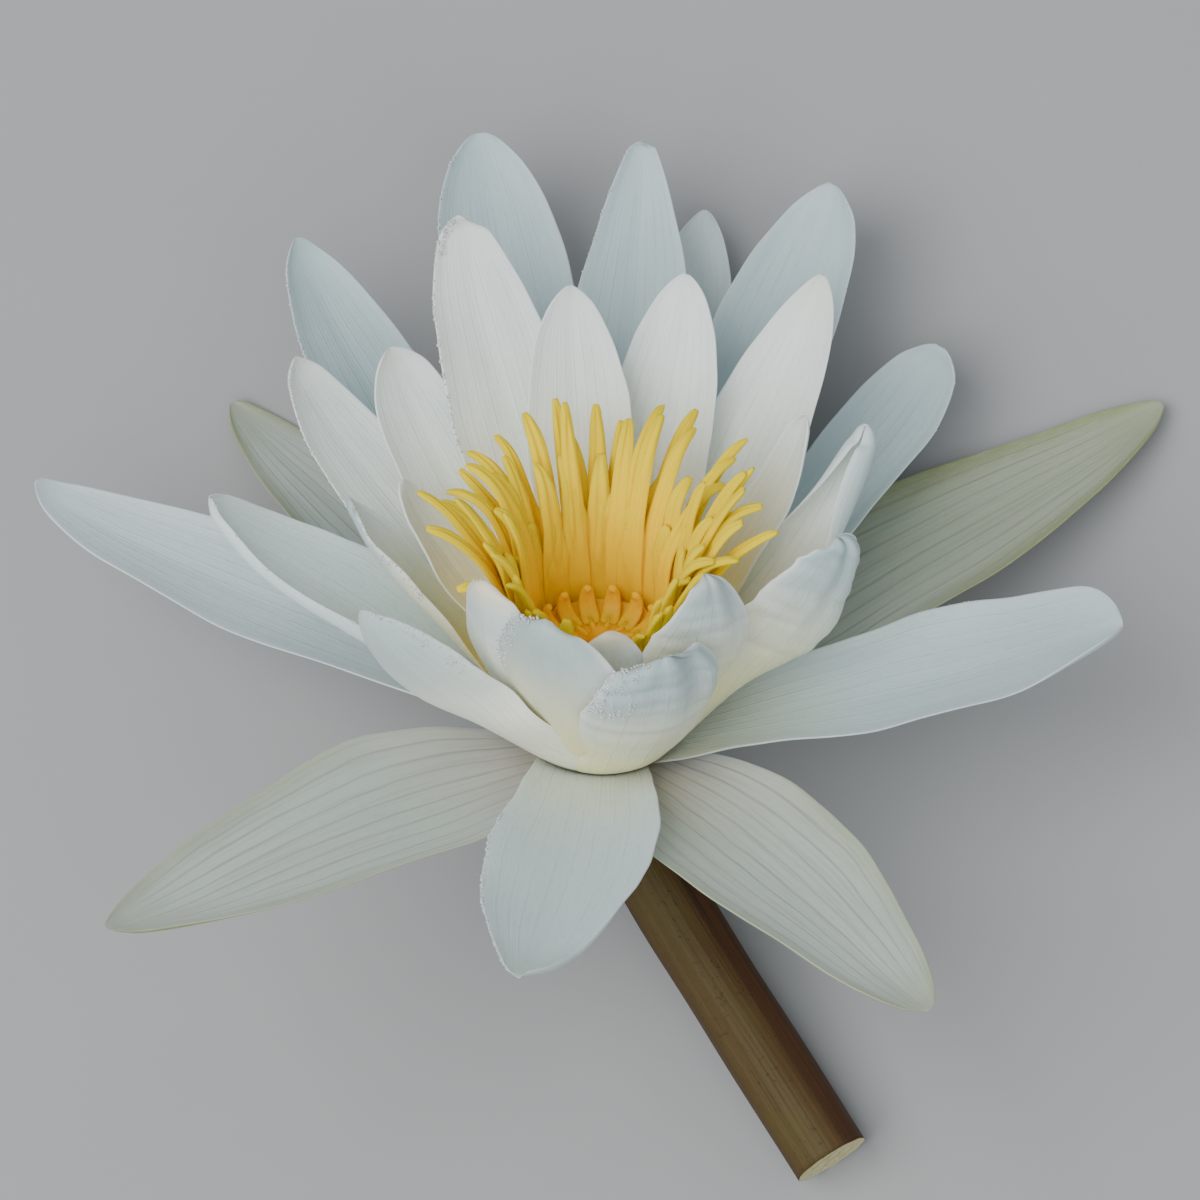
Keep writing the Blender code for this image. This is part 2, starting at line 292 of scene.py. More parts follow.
@dataclass(frozen=True)
class PetalFinish:
    """Velvety, slightly see-through skin of a sepal or petal: parallel veins, painted light and shade."""
    name: str
    body: Colour
    root: Colour
    back: Colour
    vein: Colour
    margin_and_rim_light: Colour
    cloud: Colour
    veins: float = 6.0           # veins on each half
    vein_share: float = 0.12     # how strongly they show
    margin_and_rim_light_share: float = 0.0      # margin tint: the sepals' own green, a painted bright rim on the petals
    cloud_share: float = 0.3     # soft patches over the whole skin
    back_colour_and_shade_share: float = 0.6      # how strongly the back's colour shows: the sepals' own green, painted shade on petals
    back_colour_and_shade_reach: float = 0.5      # how far up the back that colour is complete
    root_reach: float = 0.45     # how far the root's colour reaches; inner whorls: own cream plus painted stamen light
    pale: Colour = (0.74, 0.83, 0.82)
    straw: Colour = (0.86, 0.77, 0.52)
    green: Colour = (0.17, 0.20, 0.05)
    roughness: float = 0.46
    relief: float = 0.14         # depth of its veins and grain, mm
    glow: float = 0.35           # light carried under the skin
    glow_reach: float = 1.8      # how far it is carried, mm

    def material(self) -> bpy.types.Material:
        """Build the material.

        Returns:
            A material that reads along, across, back, seed, pale, warmth and green from the mesh.
        """
        bench = Bench(self.name)
        along, across = bench.attribute("along"), bench.attribute("across")
        back, seed = bench.attribute("back"), bench.attribute("seed")
        fibres = bench.noise(bench.vector(across * 9.0, along * 1.3, seed), 3.0, 4.0)
        clouds = bench.noise(bench.vector(across * 1.2, along * 2.4, seed + 7.0), 2.0, 2.0)
        drift = (clouds - 0.5) * 0.5 + across * self.veins
        lines = (1.0 - abs((drift * math.pi).sine())) ** 5.0
        inside = abs(across).step(1.0, 0.8) * along.step(0.98, 0.8)
        veins = lines * inside * (0.55 + fibres * 0.9)
        # The root's colour is the blade's own; on the middle and inner petals it is deepened with painted
        # yellow light thrown from the stamens.
        colour = bench.mix(self.root, self.body, along.step(0.0, self.root_reach))
        # The back's colour: the sepals' own green outside; on the petals, painted blue-grey shade as if
        # their backs faced away from the light.
        back_colour_and_shade_mask = back * self.back_colour_and_shade_share * along.step(self.back_colour_and_shade_reach - 0.45, self.back_colour_and_shade_reach)
        colour = bench.mix(colour, self.back, back_colour_and_shade_mask)
        colour = bench.mix(colour, self.vein, veins * self.vein_share)
        colour = bench.mix(colour, self.vein, fibres.step(0.45, 0.75) * (self.vein_share * 0.55))
        colour = bench.mix(colour, self.cloud, clouds.step(0.42, 0.75) * self.cloud_share)
        # Painted light along the petals' thin margins, a bright rim as if light shone through; the sepals'
        # margin tint is their own green.
        rim = abs(across).step(0.84, 1.0) * along.step(0.12, 0.45)
        colour = bench.mix(colour, self.margin_and_rim_light, rim * self.margin_and_rim_light_share)
        # Painted light: the pale mark lightens blades that lie in the shade of others.
        colour = bench.mix(colour, self.pale, bench.attribute("pale"))
        colour = bench.mix(colour, self.straw, bench.attribute("warmth"))
        # Green tips and margins are the blades' own; the all-over green tint is painted shade on some
        # blades.
        colour = bench.mix(colour, self.green, bench.attribute("green"))
        mottle = bench.noise(bench.vector(across * 4.0, along * 9.0, seed + 3.0), 5.0, 4.0)
        colour = bench.mix(colour, self.cloud, mottle.step(0.45, 0.8) * 0.25)
        grain = bench.noise(bench.place(), 2600.0, 2.0)
        height = veins * 0.4 + fibres * 0.6 + grain * 0.16
        return bench.finish({
            "Base Color": colour,
            "Roughness": self.roughness + (fibres - 0.5) * 0.16,
            "Normal": bench.bump(height, self.relief, 0.7),
            "Subsurface Weight": self.glow,
            "Subsurface Radius": (0.95, 1.0, 0.9),
            "Subsurface Scale": self.glow_reach * MM,
            "Specular IOR Level": 0.38,
            "Sheen Weight": 0.12,
            "Sheen Roughness": 0.4,
        })


@dataclass(frozen=True)
class StamenFinish:
    """Waxy straps, golden at the root and lemon yellow at the tip."""
    root: Colour = (1.0, 0.66, 0.0)
    middle: Colour = (0.97, 0.63, 0.0)
    tip: Colour = (0.80, 0.61, 0.01)
    dust: Colour = (0.98, 0.76, 0.05)    # pollen
    glow: float = 0.15                   # light carried under the wax
    glow_reach: float = 1.0              # how far it is carried, mm

    def material(self) -> bpy.types.Material:
        """Build the material.

        Returns:
            A material that reads along, across, back and seed from the mesh.
        """
        bench = Bench("stamen_wax")
        along, across = bench.attribute("along"), bench.attribute("across")
        back, seed = bench.attribute("back"), bench.attribute("seed")
        streaks = bench.noise(bench.vector(across * 4.0, along * 3.0, seed), 2.0, 3.0)
        reach = along + (streaks - 0.5) * 0.25
        colour = bench.mix(self.root, self.middle, reach.step(0.05, 0.5))
        colour = bench.mix(colour, self.tip, reach.step(0.42, 0.95))
        groove = abs(across).step(0.30, 0.0) * along.step(0.35, 0.5) * (1.0 - back)
        colour = bench.mix(colour, self.middle, groove * 0.6)
        pollen = bench.noise(bench.place(), 5200.0, 2.0)
        return bench.finish({
            "Base Color": bench.mix(colour, self.dust, pollen.step(0.55, 0.8) * along * 0.35),
            "Roughness": 0.5 + pollen * 0.25,
            "Specular IOR Level": 0.10,
            "Normal": bench.bump(pollen * 0.5 + streaks * 0.5, 0.10, 0.6),
            "Subsurface Weight": self.glow,
            "Subsurface Radius": (1.0, 0.7, 0.10),
            "Subsurface Scale": self.glow_reach * MM,
        })


@dataclass(frozen=True)
class StigmaFinish:
    """Moist golden disc whose rays are paler along their ridges."""
    groove: Colour = (0.80, 0.44, 0.0)
    ridge: Colour = (0.90, 0.54, 0.0)
    ovary: Colour = (0.62, 0.60, 0.28)
    glow: float = 0.40           # light carried under the wax
    glow_reach: float = 1.2      # how far it is carried, mm

    def material(self) -> bpy.types.Material:
        """Build the material.

        Returns:
            A material that reads ridge and disc from the mesh.
        """
        bench = Bench("stigma_wax")
        grain = bench.noise(bench.place(), 1800.0, 3.0)
        ridge = bench.attribute("ridge") + (grain - 0.5) * 0.3
        colour = bench.mix(self.groove, self.ridge, ridge.step(0.1, 0.9))
        colour = bench.mix(self.ovary, colour, bench.attribute("disc"))
        return bench.finish({
            "Base Color": colour,
            "Roughness": 0.36 + grain * 0.2,
            "Specular IOR Level": 0.2,
            "Normal": bench.bump(grain, 0.12, 0.6),
            "Subsurface Weight": self.glow,
            "Subsurface Radius": (1.0, 0.7, 0.10),
            "Subsurface Scale": self.glow_reach * MM,
        })


@dataclass(frozen=True)
class StemFinish:
    """Smooth brown skin with a painted olive reflection down one side, and the pale pith of the cut."""
    brown: Colour = (0.060, 0.021, 0.003)
    dark: Colour = (0.033, 0.012, 0.003)
    # Olive is used near the flower and for a painted green reflection down one side.
    olive: Colour = (0.085, 0.070, 0.016)
    pith: Colour = (0.56, 0.52, 0.28)

    def material(self) -> bpy.types.Material:
        """Build the material.

        Returns:
            A material that reads along, around and pith from the mesh.
        """
        bench = Bench("stem_skin")
        along, around = bench.attribute("along"), bench.attribute("around")
        turn = around * math.tau
        ring = bench.vector(turn.sine() * 4.0, (turn + math.pi / 2).sine() * 4.0, along * 1.4)
        fibres = bench.noise(ring, 3.0, 5.0)
        blotches = bench.noise(bench.place(), 160.0, 4.0)
        specks = bench.noise(bench.place(), 1500.0, 2.0).step(0.62, 0.72)
        # Painted green reflection down one side of the stem.
        painted_green_reflection = (turn + 0.6).sine().step(0.3, 1.0) * (0.2 + blotches * 0.6)
        colour = bench.mix(self.brown, self.dark, fibres.step(0.40, 0.72))
        colour = bench.mix(colour, self.olive, painted_green_reflection)
        colour = bench.mix(colour, self.dark, specks * 0.45)
        colour = bench.mix(colour, self.olive, along.step(0.22, 0.0) * 0.8)
        colour = bench.mix(colour, self.pith, bench.attribute("pith"))
        return bench.finish({
            "Base Color": colour,
            "Roughness": 0.5 + blotches * 0.2,
            "Specular IOR Level": 0.3,
            "Normal": bench.bump(fibres * 0.8 + specks * 0.2, 0.25, 0.6),
            "Subsurface Weight": 0.06,
            "Subsurface Radius": (1.0, 0.5, 0.25),
            "Subsurface Scale": 1.5 * MM,
        })


@dataclass(frozen=True)
class DewFinish:
    """Clear water in fine beads."""
    tint: Colour = (0.98, 0.99, 1.0)
    bending: float = 1.333       # refraction index of water
    clearness: float = 0.7       # share of the light that goes through

    def material(self) -> bpy.types.Material:
        """Build the material.

        Returns:
            A material that reads nothing from the mesh.
        """
        bench = Bench("dew_water")
        film = bench.noise(bench.place(), 4000.0, 1.0)
        return bench.finish({
            "Base Color": (*self.tint, 1.0),
            "Roughness": film * 0.06,
            "IOR": self.bending,
            "Transmission Weight": self.clearness,
        })


@dataclass(frozen=True)
class FloorFinish:
    """Plain pale matt floor."""
    tint: Colour = (0.31, 0.315, 0.32)
    lighter: float = 1.04        # its lightest patches, as a share of the tint
    roughness: float = 0.85

    def material(self) -> bpy.types.Material:
        """Build the material.

        Returns:
            A material that reads nothing from the mesh.
        """
        bench = Bench("floor_matt")
        grain = bench.noise(bench.place(), 60.0, 4.0)
        lighter = tuple(channel * self.lighter for channel in self.tint)
        return bench.finish({
            "Base Color": bench.mix(self.tint, lighter, grain),
            "Roughness": self.roughness,
        })


# ---------------------------------------------------------------- blades

MARGIN_WAVES: Rows = ((1.3, 0.030), (3.1, 0.012), (7.3, 0.006))   # waves to a length, depth
CREASES = (7.0, 11.0, 16.0)    # half waves to a length
MARGIN_SEED = 1000             # sets the draws for margins apart from those for the relief
MIDDLE_STEPS = 400             # steps of the walk along a blade's middle


class Outline(Enum):
    """Outlines of a blade: where it is widest, how full it stays and how round it ends."""
    SEPAL = (0.33, 1.35, 0.58)
    LANCE = (0.33, 1.5, 0.64)
    PETAL = (0.52, 2.2, 0.60)
    TAPER = (0.48, 1.7, 0.66)
    POINTED = (0.45, 1.5, 0.62)
    BROAD = (0.45, 1.9, 0.62)
    BLUNT = (0.58, 3.0, 0.54)
    SQUARE = (0.60, 4.2, 0.50)
    STRAP = (0.15, 1.6, 0.34)


class Margin(Enum):
    """The two margins of a blade, named by the way that azimuth grows."""
    LEAD = 1
    TRAIL = -1


@dataclass(frozen=True)
class Beads:
    """Dew along one margin of a blade."""
    margin: Margin
    start: float           # share of the blade's length
    end: float
    count: int
    spread: float = 0.03   # how far they stray from the margin, as a share of half the width
    lift: float = 0.0      # how far they stand off the middle surface, mm; below 0 on the back
    size: float = 1.0


@dataclass(frozen=True)
class Blade:
    """One sepal, petal or stamen; lengths in mm, angles in degrees."""
    azimuth: float         # round the flower's axis
    lift: float            # rise above level, halfway along
    length: float
    width: float
    tier: float            # height of its seat, in rows
    curl: float = 8        # how far it turns upwards from seat to tip
    cup: float = 34        # half angle of its trough
    claw: float = 5        # width at its seat
    seat: Optional[float] = None   # azimuth of its seat, where that isn't its own
    bend: float = 0        # how far it turns sideways from seat to tip
    hook: float = 12       # extra turn upwards of the last quarter
    hood: float = 20       # extra turn upwards of the very tip
    hood_start: float = 0.93   # share of the length where that turn begins
    twist: float = 0       # how far it is rolled round its own middle
    scroll: float = 0      # how far its outer half closes into a tube
    roll_lead: float = 14  # how far the leading margin turns in
    roll_trail: float = 14
    roll_start: float = 0.55   # share of the half width where the margins start to turn in
    roll_from: float = 0.12    # share of the length where they start to turn in
    ripple: float = 0.35   # waves along the margins
    fray: float = 1.0      # how far its margins stray from a perfect outline
    crumple: float = 0.0   # depth of the creases across it
    pleats: float = 0.0    # depth of the folds that run down from its tip
    keel: float = 0.14     # depth of the groove along its middle
    warmth: float = 0.0    # straw tint of the tip
    green: float = 0.0     # green tint of the tip
    green_and_shade_wash: float = 0.0      # green tint all over; on some blades it is painted shade
    verge: float = 0.0     # green tint along its margins
    pale: float = 0.0      # painted light: lightens the whole blade where it lies in shade
    outline: Outline = Outline.PETAL
    beads: tuple[Beads, ...] = ()

    def half_width(self, along: Grid) -> Grid:
        """Half of the blade's width.

        Args:
            along: shares of its length.

        Returns:
            Half widths in mm.
        """
        peak, fullness, roundness = self.outline.value
        claw = self.claw / self.width
        opening = np.clip(along / peak, 0.0, 1.0)
        growing = claw + (1.0 - claw) * np.sin(opening * math.pi / 2) ** 1.15
        rest = np.clip((along - peak) / (1.0 - peak), 0.0, 1.0)
        closing = (1.0 - rest ** fullness) ** roundness
        return self.width / 2 * np.where(along < peak, growing, closing)

    def wander(self, along: Grid, across: Grid, seed: int) -> Grid:
        """How the two margins stray from a perfect outline, in long, middling and short waves.

        Args:
            along: rows of shares of its length.
            across: columns from -1 to 1.
            seed: sets its margins apart from those of other blades.

        Returns:
            Rows by columns of factors on the half width.
        """
        draw = random.Random(seed + MARGIN_SEED)
        factor = np.ones((len(along), len(across)))
        for side in (1.0, -1.0):
            weight = np.clip(across * side, 0.0, 1.0)[None, :]
            for pace, depth in MARGIN_WAVES:
                phase = draw.uniform(0.0, math.tau)
                wave = np.sin(math.tau * pace * along + phase)[:, None]
                factor = factor + self.fray * depth * weight * wave
        return factor

    def centre_line(self, start: Place, along: Grid) -> tuple[Grid, Grid]:
        """Walk along the blade's middle.

        Args:
            start: the middle of its seat, in mm.
            along: shares of its length, at which it is read.

        Returns:
            The points in mm and the directions there.
        """
        share = np.linspace(0.0, 1.0, MIDDLE_STEPS + 1)
        rise = np.radians(self.lift + self.curl * (share - 0.5)
                          + self.hook * smooth_step(0.75, 1.0, share)
                          + self.hood * smooth_step(self.hood_start, 1.0, share))
        turn = np.radians(self.azimuth + self.bend * (share - 0.5))
        direction = np.stack([np.cos(rise) * np.cos(turn), np.cos(rise) * np.sin(turn),
                              np.sin(rise)], axis=-1)
        moves = (direction[1:] + direction[:-1]) / 2 * self.length / MIDDLE_STEPS
        points = np.vstack([np.zeros(3), np.cumsum(moves, axis=0)]) + np.array(start)
        centre = np.stack([np.interp(along, share, points[:, k]) for k in range(3)], axis=-1)
        tangent = np.stack([np.interp(along, share, direction[:, k]) for k in range(3)], axis=-1)
        return centre, tangent / np.linalg.norm(tangent, axis=-1, keepdims=True)

    def relief(self, along: Grid, across: Grid, seed: int) -> Grid:
        """How far the sheet rises out of its plain trough.

        Args:
            along: rows of shares of its length.
            across: columns from -1 to 1.
            seed: sets the waves apart from those of other blades.

        Returns:
            Rows by columns, in mm, inwards.
        """
        draw = random.Random(seed)
        rows, columns = along[:, None], across[None, :]
        free = smooth_step(0.15, 0.6, rows)
        midrib = np.exp(-(columns / 0.16) ** 2)
        rise = -self.keel * midrib * free * (1.0 - smooth_step(0.8, 1.0, rows))
        for side in (1.0, -1.0):
            phase, pace = draw.uniform(0.0, math.tau), draw.uniform(1.6, 2.6)
            weight = np.clip(columns * side, 0.0, 1.0) ** 2 * free
            rise = rise + self.ripple * weight * np.sin(math.tau * pace * rows + phase)
        for _ in range(3):
            phase, pace = draw.uniform(0.0, math.tau), draw.uniform(0.9, 2.0)
            slant = draw.uniform(-1.0, 1.0)
            wave = np.sin(math.tau * pace * rows + slant * 2.0 * columns + phase)
            rise = rise + 0.4 * self.ripple * free * wave
        if self.pleats:
            fold = np.sin(9.0 * columns + 1.5 * rows + draw.uniform(0.0, math.tau))
            rise = (rise + self.pleats * fold * smooth_step(0.5, 0.92, rows)
                    * smooth_step(-0.4, 0.5, columns))
        if self.crumple:
            for pace in CREASES:
                phase, slant = draw.uniform(0.0, math.tau), draw.uniform(-2.4, 2.4)
                bow = draw.uniform(0.5, 1.6)
                wave = np.sin(math.pi * pace * rows + slant * columns + bow * columns ** 2 + phase)
                crease = self.crumple * 5.0 / pace * (0.6 - np.abs(wave))
                rise = rise + crease * smooth_step(0.3, 0.6, rows)
        return rise

    def sheet(self, start: Place, along: Grid, across: Grid, seed: int) -> Grid:
        """The blade's middle surface.

        Args:
            start: the middle of its seat, in mm.
            along: rows of shares of its length.
            across: columns from -1 to 1, with 0 in the middle.
            seed: sets its waves apart from those of other blades.

        Returns:
            Rows by columns of points in mm.
        """
        centre, tangent = self.centre_line(start, along)
        turn = np.radians(self.azimuth + self.bend * (along - 0.5))
        sideways = np.stack([-np.sin(turn), np.cos(turn), np.zeros_like(turn)], axis=-1)
        inward = np.cross(tangent, sideways)
        twist = (math.radians(self.twist) * smooth_step(0.0, 0.5, along))[:, None]
        sideways, inward = (sideways * np.cos(twist) - inward * np.sin(twist),
                            inward * np.cos(twist) + sideways * np.sin(twist))
        # The trough is shallow at the seat and over the outer half, and deepens again at the tip.
        opened = (0.6 * (1.0 - smooth_step(0.0, 0.2, along)) + 0.35 * smooth_step(0.15, 0.6, along)
                  - 0.35 * smooth_step(0.8, 1.0, along))
        cup = self.cup * (1.0 - opened) + self.scroll * smooth_step(0.35, 0.9, along)
        trough = np.radians(cup)[:, None] * across[None, :]
        rolling = smooth_step(self.roll_from, self.roll_from + 0.38, along)[:, None]
        trough = trough + rolling * np.radians(
            self.roll_lead * smooth_step(self.roll_start, 1.0, across)
            - self.roll_trail * smooth_step(self.roll_start, 1.0, -across))
        step = np.diff(across)[None, :]
        middle = len(across) // 2
        half = self.half_width(along)[:, None] * self.wander(along, across, seed)

        def gathered(slope: Grid) -> Grid:
            """Add up a slope from the middle towards both margins.

            Args:
                slope: rows by columns of slopes.

            Returns:
                Rows by columns of distances in mm.
            """
            total = np.cumsum((slope[:, 1:] + slope[:, :-1]) / 2 * step, axis=1)
            total = np.hstack([np.zeros((len(along), 1)), total])
            return (total - total[:, middle:middle + 1]) * half

        # Adding up slopes keeps the width along the skin the same however far it is rolled.
        side = gathered(np.cos(trough))[..., None]
        rise = (gathered(np.sin(trough)) + self.relief(along, across, seed))[..., None]
        sheet = centre[:, None] + sideways[:, None] * side + inward[:, None] * rise
        # The base is bent round the ovary, and the sheet comes away from it over its first third.
        reach, around = math.hypot(start[0], start[1]), math.atan2(start[1], start[0])
        spread = around + self.claw / 2 * across / reach
        seat = np.stack([reach * np.cos(spread), reach * np.sin(spread),
                         np.full_like(spread, start[2])], axis=-1)
        return sheet + (seat - sheet[0]) * (1.0 - smooth_step(0.0, 0.35, along))[:, None, None]


class Attitude:
    """How the upright flower lies on the floor."""
    LEAN_BACK = 33.8       # degrees
    LEAN_LEFT = 9.2        # degrees
    FOOT = -0.7            # height of the ovary's flat foot, mm

    def __init__(self, pistil: bpy.types.Object) -> None:
        """Find the flower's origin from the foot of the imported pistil.

        Args:
            pistil: its CAD node.
        """
        turn = (Matrix.Rotation(math.radians(self.LEAN_LEFT), 4, "Y")
                @ Matrix.Rotation(math.radians(-self.LEAN_BACK), 4, "X"))
        back = turn.inverted()
        points = np.array([tuple(back @ vertex.co) for vertex in pistil.data.vertices])
        lowest = points[:, 2].min()
        foot = points[points[:, 2] < lowest + 0.1 * MM]
        centre = (foot.min(axis=0) + foot.max(axis=0)) / 2
        origin = turn @ Vector((centre[0], centre[1], lowest - self.FOOT * MM))
        self.matrix = Matrix.Translation(origin) @ turn

    def place(self, points: Grid) -> Grid:
        """Carry points in mm on the upright flower to where they lie, in metres."""
        matrix = np.array(self.matrix)
        return points.reshape(-1, 3) * MM @ matrix[:3, :3].T + matrix[:3, 3]


def closed_tube(name: str, rings: Grid, marks: dict[str, Grid]) -> bpy.types.Mesh:
    """Skin rows of rings into one closed mesh.

    Args:
        name: the mesh's name.
        rings: rows by points of places in metres; each row closes on itself.
        marks: numbers for each point, stored as attributes.

    Returns:
        The mesh, smooth shaded, with its faces outwards.
    """
    rows, around = rings.shape[:2]
    here = np.arange(rows * around).reshape(rows, around)
    after = np.roll(here, -1, axis=1)
    quads = np.stack([here[:-1], after[:-1], after[1:], here[1:]], axis=-1).reshape(-1, 4)
    faces = quads.tolist() + [here[0][::-1].tolist(), here[-1].tolist()]
    mesh = bpy.data.meshes.new(name)
    mesh.from_pydata(rings.reshape(-1, 3).tolist(), [], faces)
    skin = bmesh.new()
    skin.from_mesh(mesh)
    bmesh.ops.recalc_face_normals(skin, faces=skin.faces)
    caps = [face for face in skin.faces if len(face.verts) > 4]
    bmesh.ops.triangulate(skin, faces=caps)
    skin.to_mesh(mesh)
    skin.free()
    for key, values in marks.items():
        layer = mesh.attributes.new(key, "FLOAT", "POINT")
        layer.data.foreach_set("value", np.ascontiguousarray(values, dtype=np.float32).ravel())
    mesh.shade_smooth()
    return mesh


def add_piece(name: str, mesh: bpy.types.Mesh, slot: str, *nodes: str) -> bpy.types.Object:
    """Put a mesh into the scene as a piece that rides on the flower.

    Args:
        name: the piece's name.
        mesh: its mesh, in metres.
        slot: the slot for its finish; not used.
        nodes: the CAD nodes that it replaces.

    Returns:
        The piece.
    """
    piece = add_object(name, mesh)
    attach(piece, BODY)
    if nodes:
        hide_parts(*nodes)
    LOG.info("%s: %d faces", name, len(mesh.polygons))
    return piece


def join_meshes(name: str, meshes: list[bpy.types.Mesh]) -> bpy.types.Mesh:
    """Put several meshes with the same attributes into one.

    Args:
        name: the new mesh's name.
        meshes: what it is made of; they are removed.

    Returns:
        The mesh.
    """
    whole = bmesh.new()
    for mesh in meshes:
        whole.from_mesh(mesh)
    joined = bpy.data.meshes.new(name)
    whole.to_mesh(joined)
    whole.free()
    for mesh in meshes:
        bpy.data.meshes.remove(mesh)
    return joined


@dataclass(frozen=True)
class BladeSkin:
    """How finely a blade is meshed and how thick it is."""
    rows: int = 90
    columns: int = 36
    thickness: float = 0.62    # in the middle, mm
    fullness: float = 0.6      # lower keeps the thickness further towards the margins
    anthers: float = 0.0       # height of the two ridges on a stamen's face, mm
    end: float = 0.9985        # share of the length where the last row lies
    stride: float = 3.7        # how far apart the patterns of two seeds are read
    span: float = 50.0         # how far the patterns are used

    def mesh(self, name: str, blade: Blade, start: Place, seed: int,
             attitude: Attitude) -> bpy.types.Mesh:
        """Mesh one blade as a closed lens, thick in the middle and thin at its margins.

        Args:
            name: the mesh's name.
            blade: its form.
            start: the middle of its seat, in mm.
            seed: sets it apart from other blades.
            attitude: where the flower lies.

        Returns:
            The mesh.
        """
        share = np.linspace(0.0, 1.0, self.rows)
        along = self.end * (1.0 - (1.0 - share) ** 1.5)
        across = -np.cos(np.linspace(0.0, math.pi, self.columns + 1))
        sheet = blade.sheet(start, along, across, seed)
        normal = np.cross(np.gradient(sheet, axis=0), np.gradient(sheet, axis=1))
        normal /= np.maximum(np.linalg.norm(normal, axis=-1, keepdims=True), 1e-9)
        lens = (1.0 - across ** 2) ** (self.fullness / 2)
        slender = np.minimum(1.0, blade.half_width(along) / (blade.width * 0.2))[:, None]
        half = self.thickness / 2 * lens[None, :] * slender
        ridge = self.anthers * np.exp(-((np.abs(across) - 0.52) / 0.24) ** 2)[None, :]
        window = (smooth_step(0.36, 0.46, along) * (1.0 - smooth_step(0.93, 1.0, along)))[:, None]
        front = sheet + normal * (half + ridge * window)[..., None]
        rear = sheet - normal * half[..., None]
        inner = slice(self.columns - 1, 0, -1)
        rings = np.concatenate([front, rear[:, inner]], axis=1)
        loop = np.concatenate([across, across[inner]])
        side = np.concatenate([np.zeros(self.columns + 1), np.ones(self.columns - 1)])
        count = len(loop)
        marks = {
            "along": np.repeat(along, count),
            "across": np.tile(loop, self.rows),
            "back": np.tile(side, self.rows),
            "seed": np.full(self.rows * count, (seed * self.stride) % self.span),
            "pale": np.full(self.rows * count, blade.pale),
            "warmth": np.repeat(blade.warmth * smooth_step(0.82, 1.0, along), count),
            # Green tips and margins are the blades' own colour; the all-over tint adds painted shade on
            # some blades.
            "green": ((blade.green_and_shade_wash * smooth_step(0.1, 0.7, along)
                       + blade.green * smooth_step(0.80, 1.0, along))[:, None]
                      + blade.verge * (smooth_step(0.10, 0.55, along)[:, None]
                                       * smooth_step(0.55, 1.05, np.abs(loop))[None, :])),
        }
        return closed_tube(name, attitude.place(rings).reshape(self.rows, count, 3), marks)


# ---------------------------------------------------------------- the flower

@dataclass(frozen=True)
class Ovary:
    """The body that carries every seat; in mm."""
    foot: float = 7.0          # radius at the height of the lowest row
    radius: float = 10.2       # where it is widest
    widest: float = 9.0        # height from which it is that wide
    tier: float = 1.35         # from one row of seats to the next
    gap: float = 0.8           # from its side to the middle of a blade's base

    def side(self, height: float) -> float:
        """Radius at a height."""
        below = max(0.0, (self.widest - height) / self.widest)
        return self.radius - (self.radius - self.foot) * below ** 2

    def seat(self, blade: Blade) -> Place:
        """Where the middle of a blade's base sits.

        Args:
            blade: gives its row and its azimuth.

        Returns:
            The place in mm.
        """
        height = blade.tier * self.tier
        azimuth = blade.azimuth if blade.seat is None else blade.seat
        return around_axis(self.side(height) + self.gap, azimuth, height)


LEAD, TRAIL = Margin.LEAD, Margin.TRAIL

SEPALS = {
    "sepal_front_left": Blade(220.4, 8, 68, 25, 0, curl=-14, cup=30, claw=15, green=0.2, green_and_shade_wash=0.03,
                              verge=0.3, outline=Outline.LANCE, fray=0.6),
    "sepal_front_right": Blade(300.1, 9, 67, 23.2, 0, curl=-14, cup=30, claw=15, seat=305, green=0.32,
                               verge=0.3, outline=Outline.LANCE, fray=0.6),
    # Its all-over tint is partly its own grey-green and partly painted shade, deepening towards the tip.
    "sepal_back_right": Blade(29.2, 15, 76.5, 26, 0, curl=-8, cup=30, claw=14, green=0.15, green_and_shade_wash=0.45,
                              verge=0.35, outline=Outline.SEPAL, fray=0.45),
    "sepal_back_left": Blade(130.4, 7, 66.5, 21.5, 0, curl=-6, cup=30, claw=14, seat=127, green=0.4,
                             verge=0.5, outline=Outline.SEPAL, fray=0.45),
}

